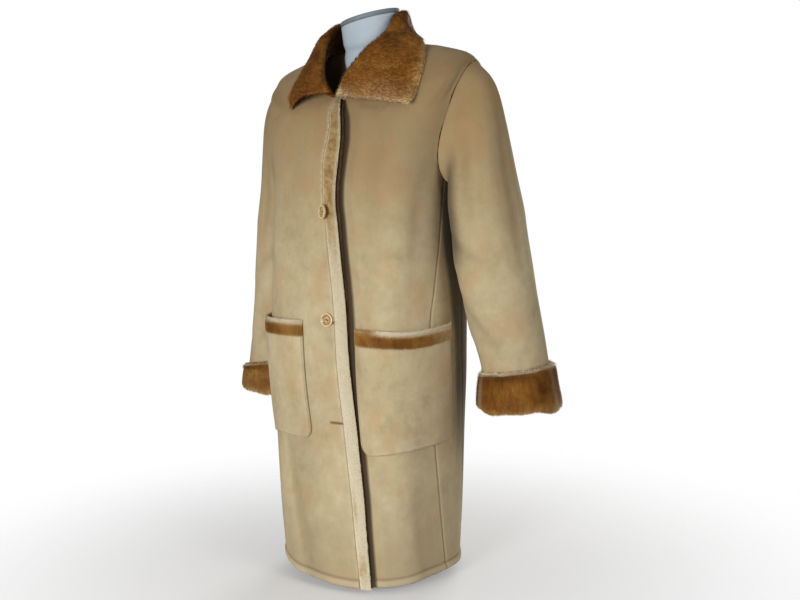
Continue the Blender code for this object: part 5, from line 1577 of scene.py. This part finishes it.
def make_form():
    """The limbless form under the coat, up to its neck's cut top, and the cap on it."""
    angles = np.linspace(0, 360, 24, endpoint=False)
    front = FORM_FRONT_EASE * fade(45.0, 85.0, np.abs((angles + 180) % 360 - 180))
    seat = [plain_body(angles, np.full(24, row), np.minimum(crease_height(angles, row), 0.0)
                       - CLOTH - FORM_SEAT_GAP - front) for row in FORM_SEAT_ROWS]
    lower = [ring_point(ring, angles) for ring in FORM_RINGS[::-1]]
    spin = np.radians(angles)
    cap_axis = unit(np.array(NECK_SLANT))
    neck = []
    for share in (0.0, 0.45, 1.0):
        centre = np.array(NECK_BASE) * (1 - share) + np.array(NECK_TOP) * share + HEM_Z * UPRIGHT
        radius = NECK_RADIUS + share * (NECK_TOP_RADIUS - NECK_RADIUS)
        axis = unit(unit(np.array(NECK_BASE_SLANT)) * (1 - share) + cap_axis * share)
        sideways = unit(np.cross([0.0, 1.0, 0.0], axis))
        forward = np.cross(sideways, axis)
        neck.append(centre + radius * (np.outer(np.sin(spin), sideways) + np.outer(np.cos(spin), forward)))
    loops = np.moveaxis(np.array(lower + seat + neck), 1, 0)
    fine = np.moveaxis(through(loops, np.linspace(0, 24, 96, endpoint=False), closed=True), 0, 1)
    fine = through(fine, np.linspace(0, loops.shape[1] - 1, 110))
    middle = fine[0].mean(axis=0)
    turned_in = [middle + (fine[0] - middle) * share + UPRIGHT * lift * MM
                 for share, lift in ((0.2, 3.0), (0.9, 1.5), (0.985, 0.2))]
    stand_part("dress_form", np.concatenate([np.array(turned_in), fine]), FORM, "form")

    top = fine[-1]
    middle = top.mean(axis=0)
    below_top = ((1.0, NECK_CAP_HEIGHT - SEAM), (1.0, 0.5 * NECK_CAP_HEIGHT), (1.0, 1.8 * MM),
                 (0.993, 0.8 * MM), (0.975, 0.15 * MM), (0.95, 0.0), (0.5, 0.0), (0.05, 0.0))
    stand_part("form_neck_cap", [middle + (top - middle) * share + cap_axis * (NECK_CAP_HEIGHT - less)
                                 for share, less in below_top], CAP)


def make_stand():
    """The round pole under the form and the low round foot that the part stands on."""
    spin = np.radians(np.linspace(0, 360, 96, endpoint=False))
    rod = np.stack([np.cos(spin), np.sin(spin), 0 * spin], axis=-1)
    low, high = FOOT_HEIGHT + SEAM, FORM_RINGS[-1, 0] + HEM_Z - SEAM
    pole = ((low, 0.96), (low + 0.6 * MM, 1.0), (high - 0.6 * MM, 1.0), (high, 0.96))
    stand_part("form_pole", [rod * POLE_RADIUS * share + UPRIGHT * z for z, share in pole], STEEL)
    rim = ((0.0, 1.5 * MM), (0.4 * MM, 0.5 * MM), (1.5 * MM, 0.0), (FOOT_HEIGHT - 4.4 * MM, 0.0),
           (FOOT_HEIGHT - 3.2 * MM, 1.2 * MM), (FOOT_HEIGHT - 0.4 * MM, 7.4 * MM), (FOOT_HEIGHT, 9.0 * MM),
           (FOOT_HEIGHT, 0.5 * FOOT_RADIUS), (FOOT_HEIGHT, FOOT_RADIUS - 0.02))
    stand_part("form_foot", [rod * (FOOT_RADIUS - less) + UPRIGHT * z for z, less in rim], STEEL)


def stand_part(name, loops, finish, slot="metal"):
    """A turned piece of the stand, through its rings from the lowest up."""
    finish_part(loop_solid(name, np.array(loops), finish), slot, name)


# -------------------------------------------------------------- studio and camera

FILL_LIGHT = 0.27
LAMP_AIM = np.array([0.0, 0.0, 0.58])
LAMPS = [
    # name, place, size, watts
    ("key_softbox", (0.1, -3.4, 0.70), 1.3, 76.0),
    ("side_softbox", (3.2, -0.9, 1.8), 1.6, 26.0),
    ("back_softbox", (-0.6, 3.4, 1.3), 2.0, 75.0),
]
CAMERA_PLACE = (1.209, -1.827, 0.767)
CAMERA_AZIMUTH_DEG, CAMERA_DOWN_DEG, CAMERA_ROLL_DEG = 32.0, 5.45, -1.07
CAMERA_LENS_MM, SENSOR_WIDTH_MM = 47.79, 36.0


def make_floor():
    """Pale round floor that fades into the white round about."""
    made = Finish("pale_floor", 0.95, Specular_IOR_Level=0.1, Base_Color=(0.92, 0.92, 0.92, 1.0))
    at = made.node("ShaderNodeTexCoord", output="Object")
    away = made.node("ShaderNodeVectorMath", {"operation": "LENGTH"}, [at], "Value")
    made.link(0.75 - away.between(0.18, 1.15) * 0.75, "Alpha")
    spin = np.radians(np.linspace(0, 360, 64, endpoint=False))
    rim = np.stack([1.7 * np.cos(spin), 1.7 * np.sin(spin), 0 * spin], axis=-1)
    corners = np.arange(64)
    fan = np.stack([corners, np.roll(corners, -1), np.full(64, 64)], axis=-1)
    make_mesh("studio_floor", np.concatenate([rim, [[0.0, 0.0, 0.0]]]), [fan], [made.material])


def make_studio():
    """White world that lights little and shows white, and three round soft lamps."""
    world = bpy.data.worlds.new("pale_studio")
    bpy.context.scene.world = world
    world.use_nodes = True
    tree = world.node_tree
    seen = tree.nodes.new("ShaderNodeLightPath").outputs["Is Camera Ray"]
    strength = tree.nodes.new("ShaderNodeMapRange")
    strength.inputs["To Min"].default_value = FILL_LIGHT
    strength.inputs["To Max"].default_value = 1.0
    tree.links.new(seen, strength.inputs["Value"])
    tree.nodes["Background"].inputs[0].default_value = (1.0, 1.0, 1.0, 1.0)
    tree.links.new(strength.outputs[0], tree.nodes["Background"].inputs[1])
    for name, place, size, watts in LAMPS:
        lamp = bpy.data.lights.new(name, "AREA")
        lamp.shape = "DISK"
        lamp.size = size
        lamp.energy = watts
        placed(name, lamp, place, LAMP_AIM - place)


def placed(name, data, place, forward, roll_deg=0.0):
    """An object at a point, with its own -Z along forward and its side level but for the roll."""
    holder = bpy.data.objects.new(name, data)
    bpy.context.scene.collection.objects.link(holder)
    forward = unit(forward)
    right = unit(np.cross(forward, UPRIGHT))
    upwards = np.cross(right, forward)
    roll = math.radians(roll_deg)
    side = right * math.cos(roll) + upwards * math.sin(roll)
    above = upwards * math.cos(roll) - right * math.sin(roll)
    columns = [(*side, 0.0), (*above, 0.0), (*-forward, 0.0), (*place, 1.0)]
    holder.matrix_world = Matrix(columns).transposed()
    return holder


def make_camera():
    """The photograph's view."""
    azimuth, down = math.radians(CAMERA_AZIMUTH_DEG), math.radians(CAMERA_DOWN_DEG)
    lens = bpy.data.cameras.new("camera")
    lens.sensor_width = SENSOR_WIDTH_MM
    lens.lens = CAMERA_LENS_MM
    level = math.cos(down)
    forward = np.array([-math.sin(azimuth) * level, math.cos(azimuth) * level, -math.sin(down)])
    bpy.context.scene.camera = placed("camera", lens, CAMERA_PLACE, forward, CAMERA_ROLL_DEG)


make_camera()
make_floor()
make_studio()
bpy.context.scene.view_settings.view_transform = "Standard"
make_fronts()
make_sides_and_back()
make_edging()
for one_side in SIDE_SIGN:
    make_sleeve(one_side)
    make_cuff(one_side)
make_collar()
for pocket_name, pocket_facts in POCKETS.items():
    make_pocket(pocket_name, pocket_facts)
    make_pocket_band(pocket_name, pocket_facts)
for button_name, button_facts in BUTTONS.items():
    make_button(button_name, *button_facts)
make_buttonholes()
make_stitches()
make_form()
make_stand()
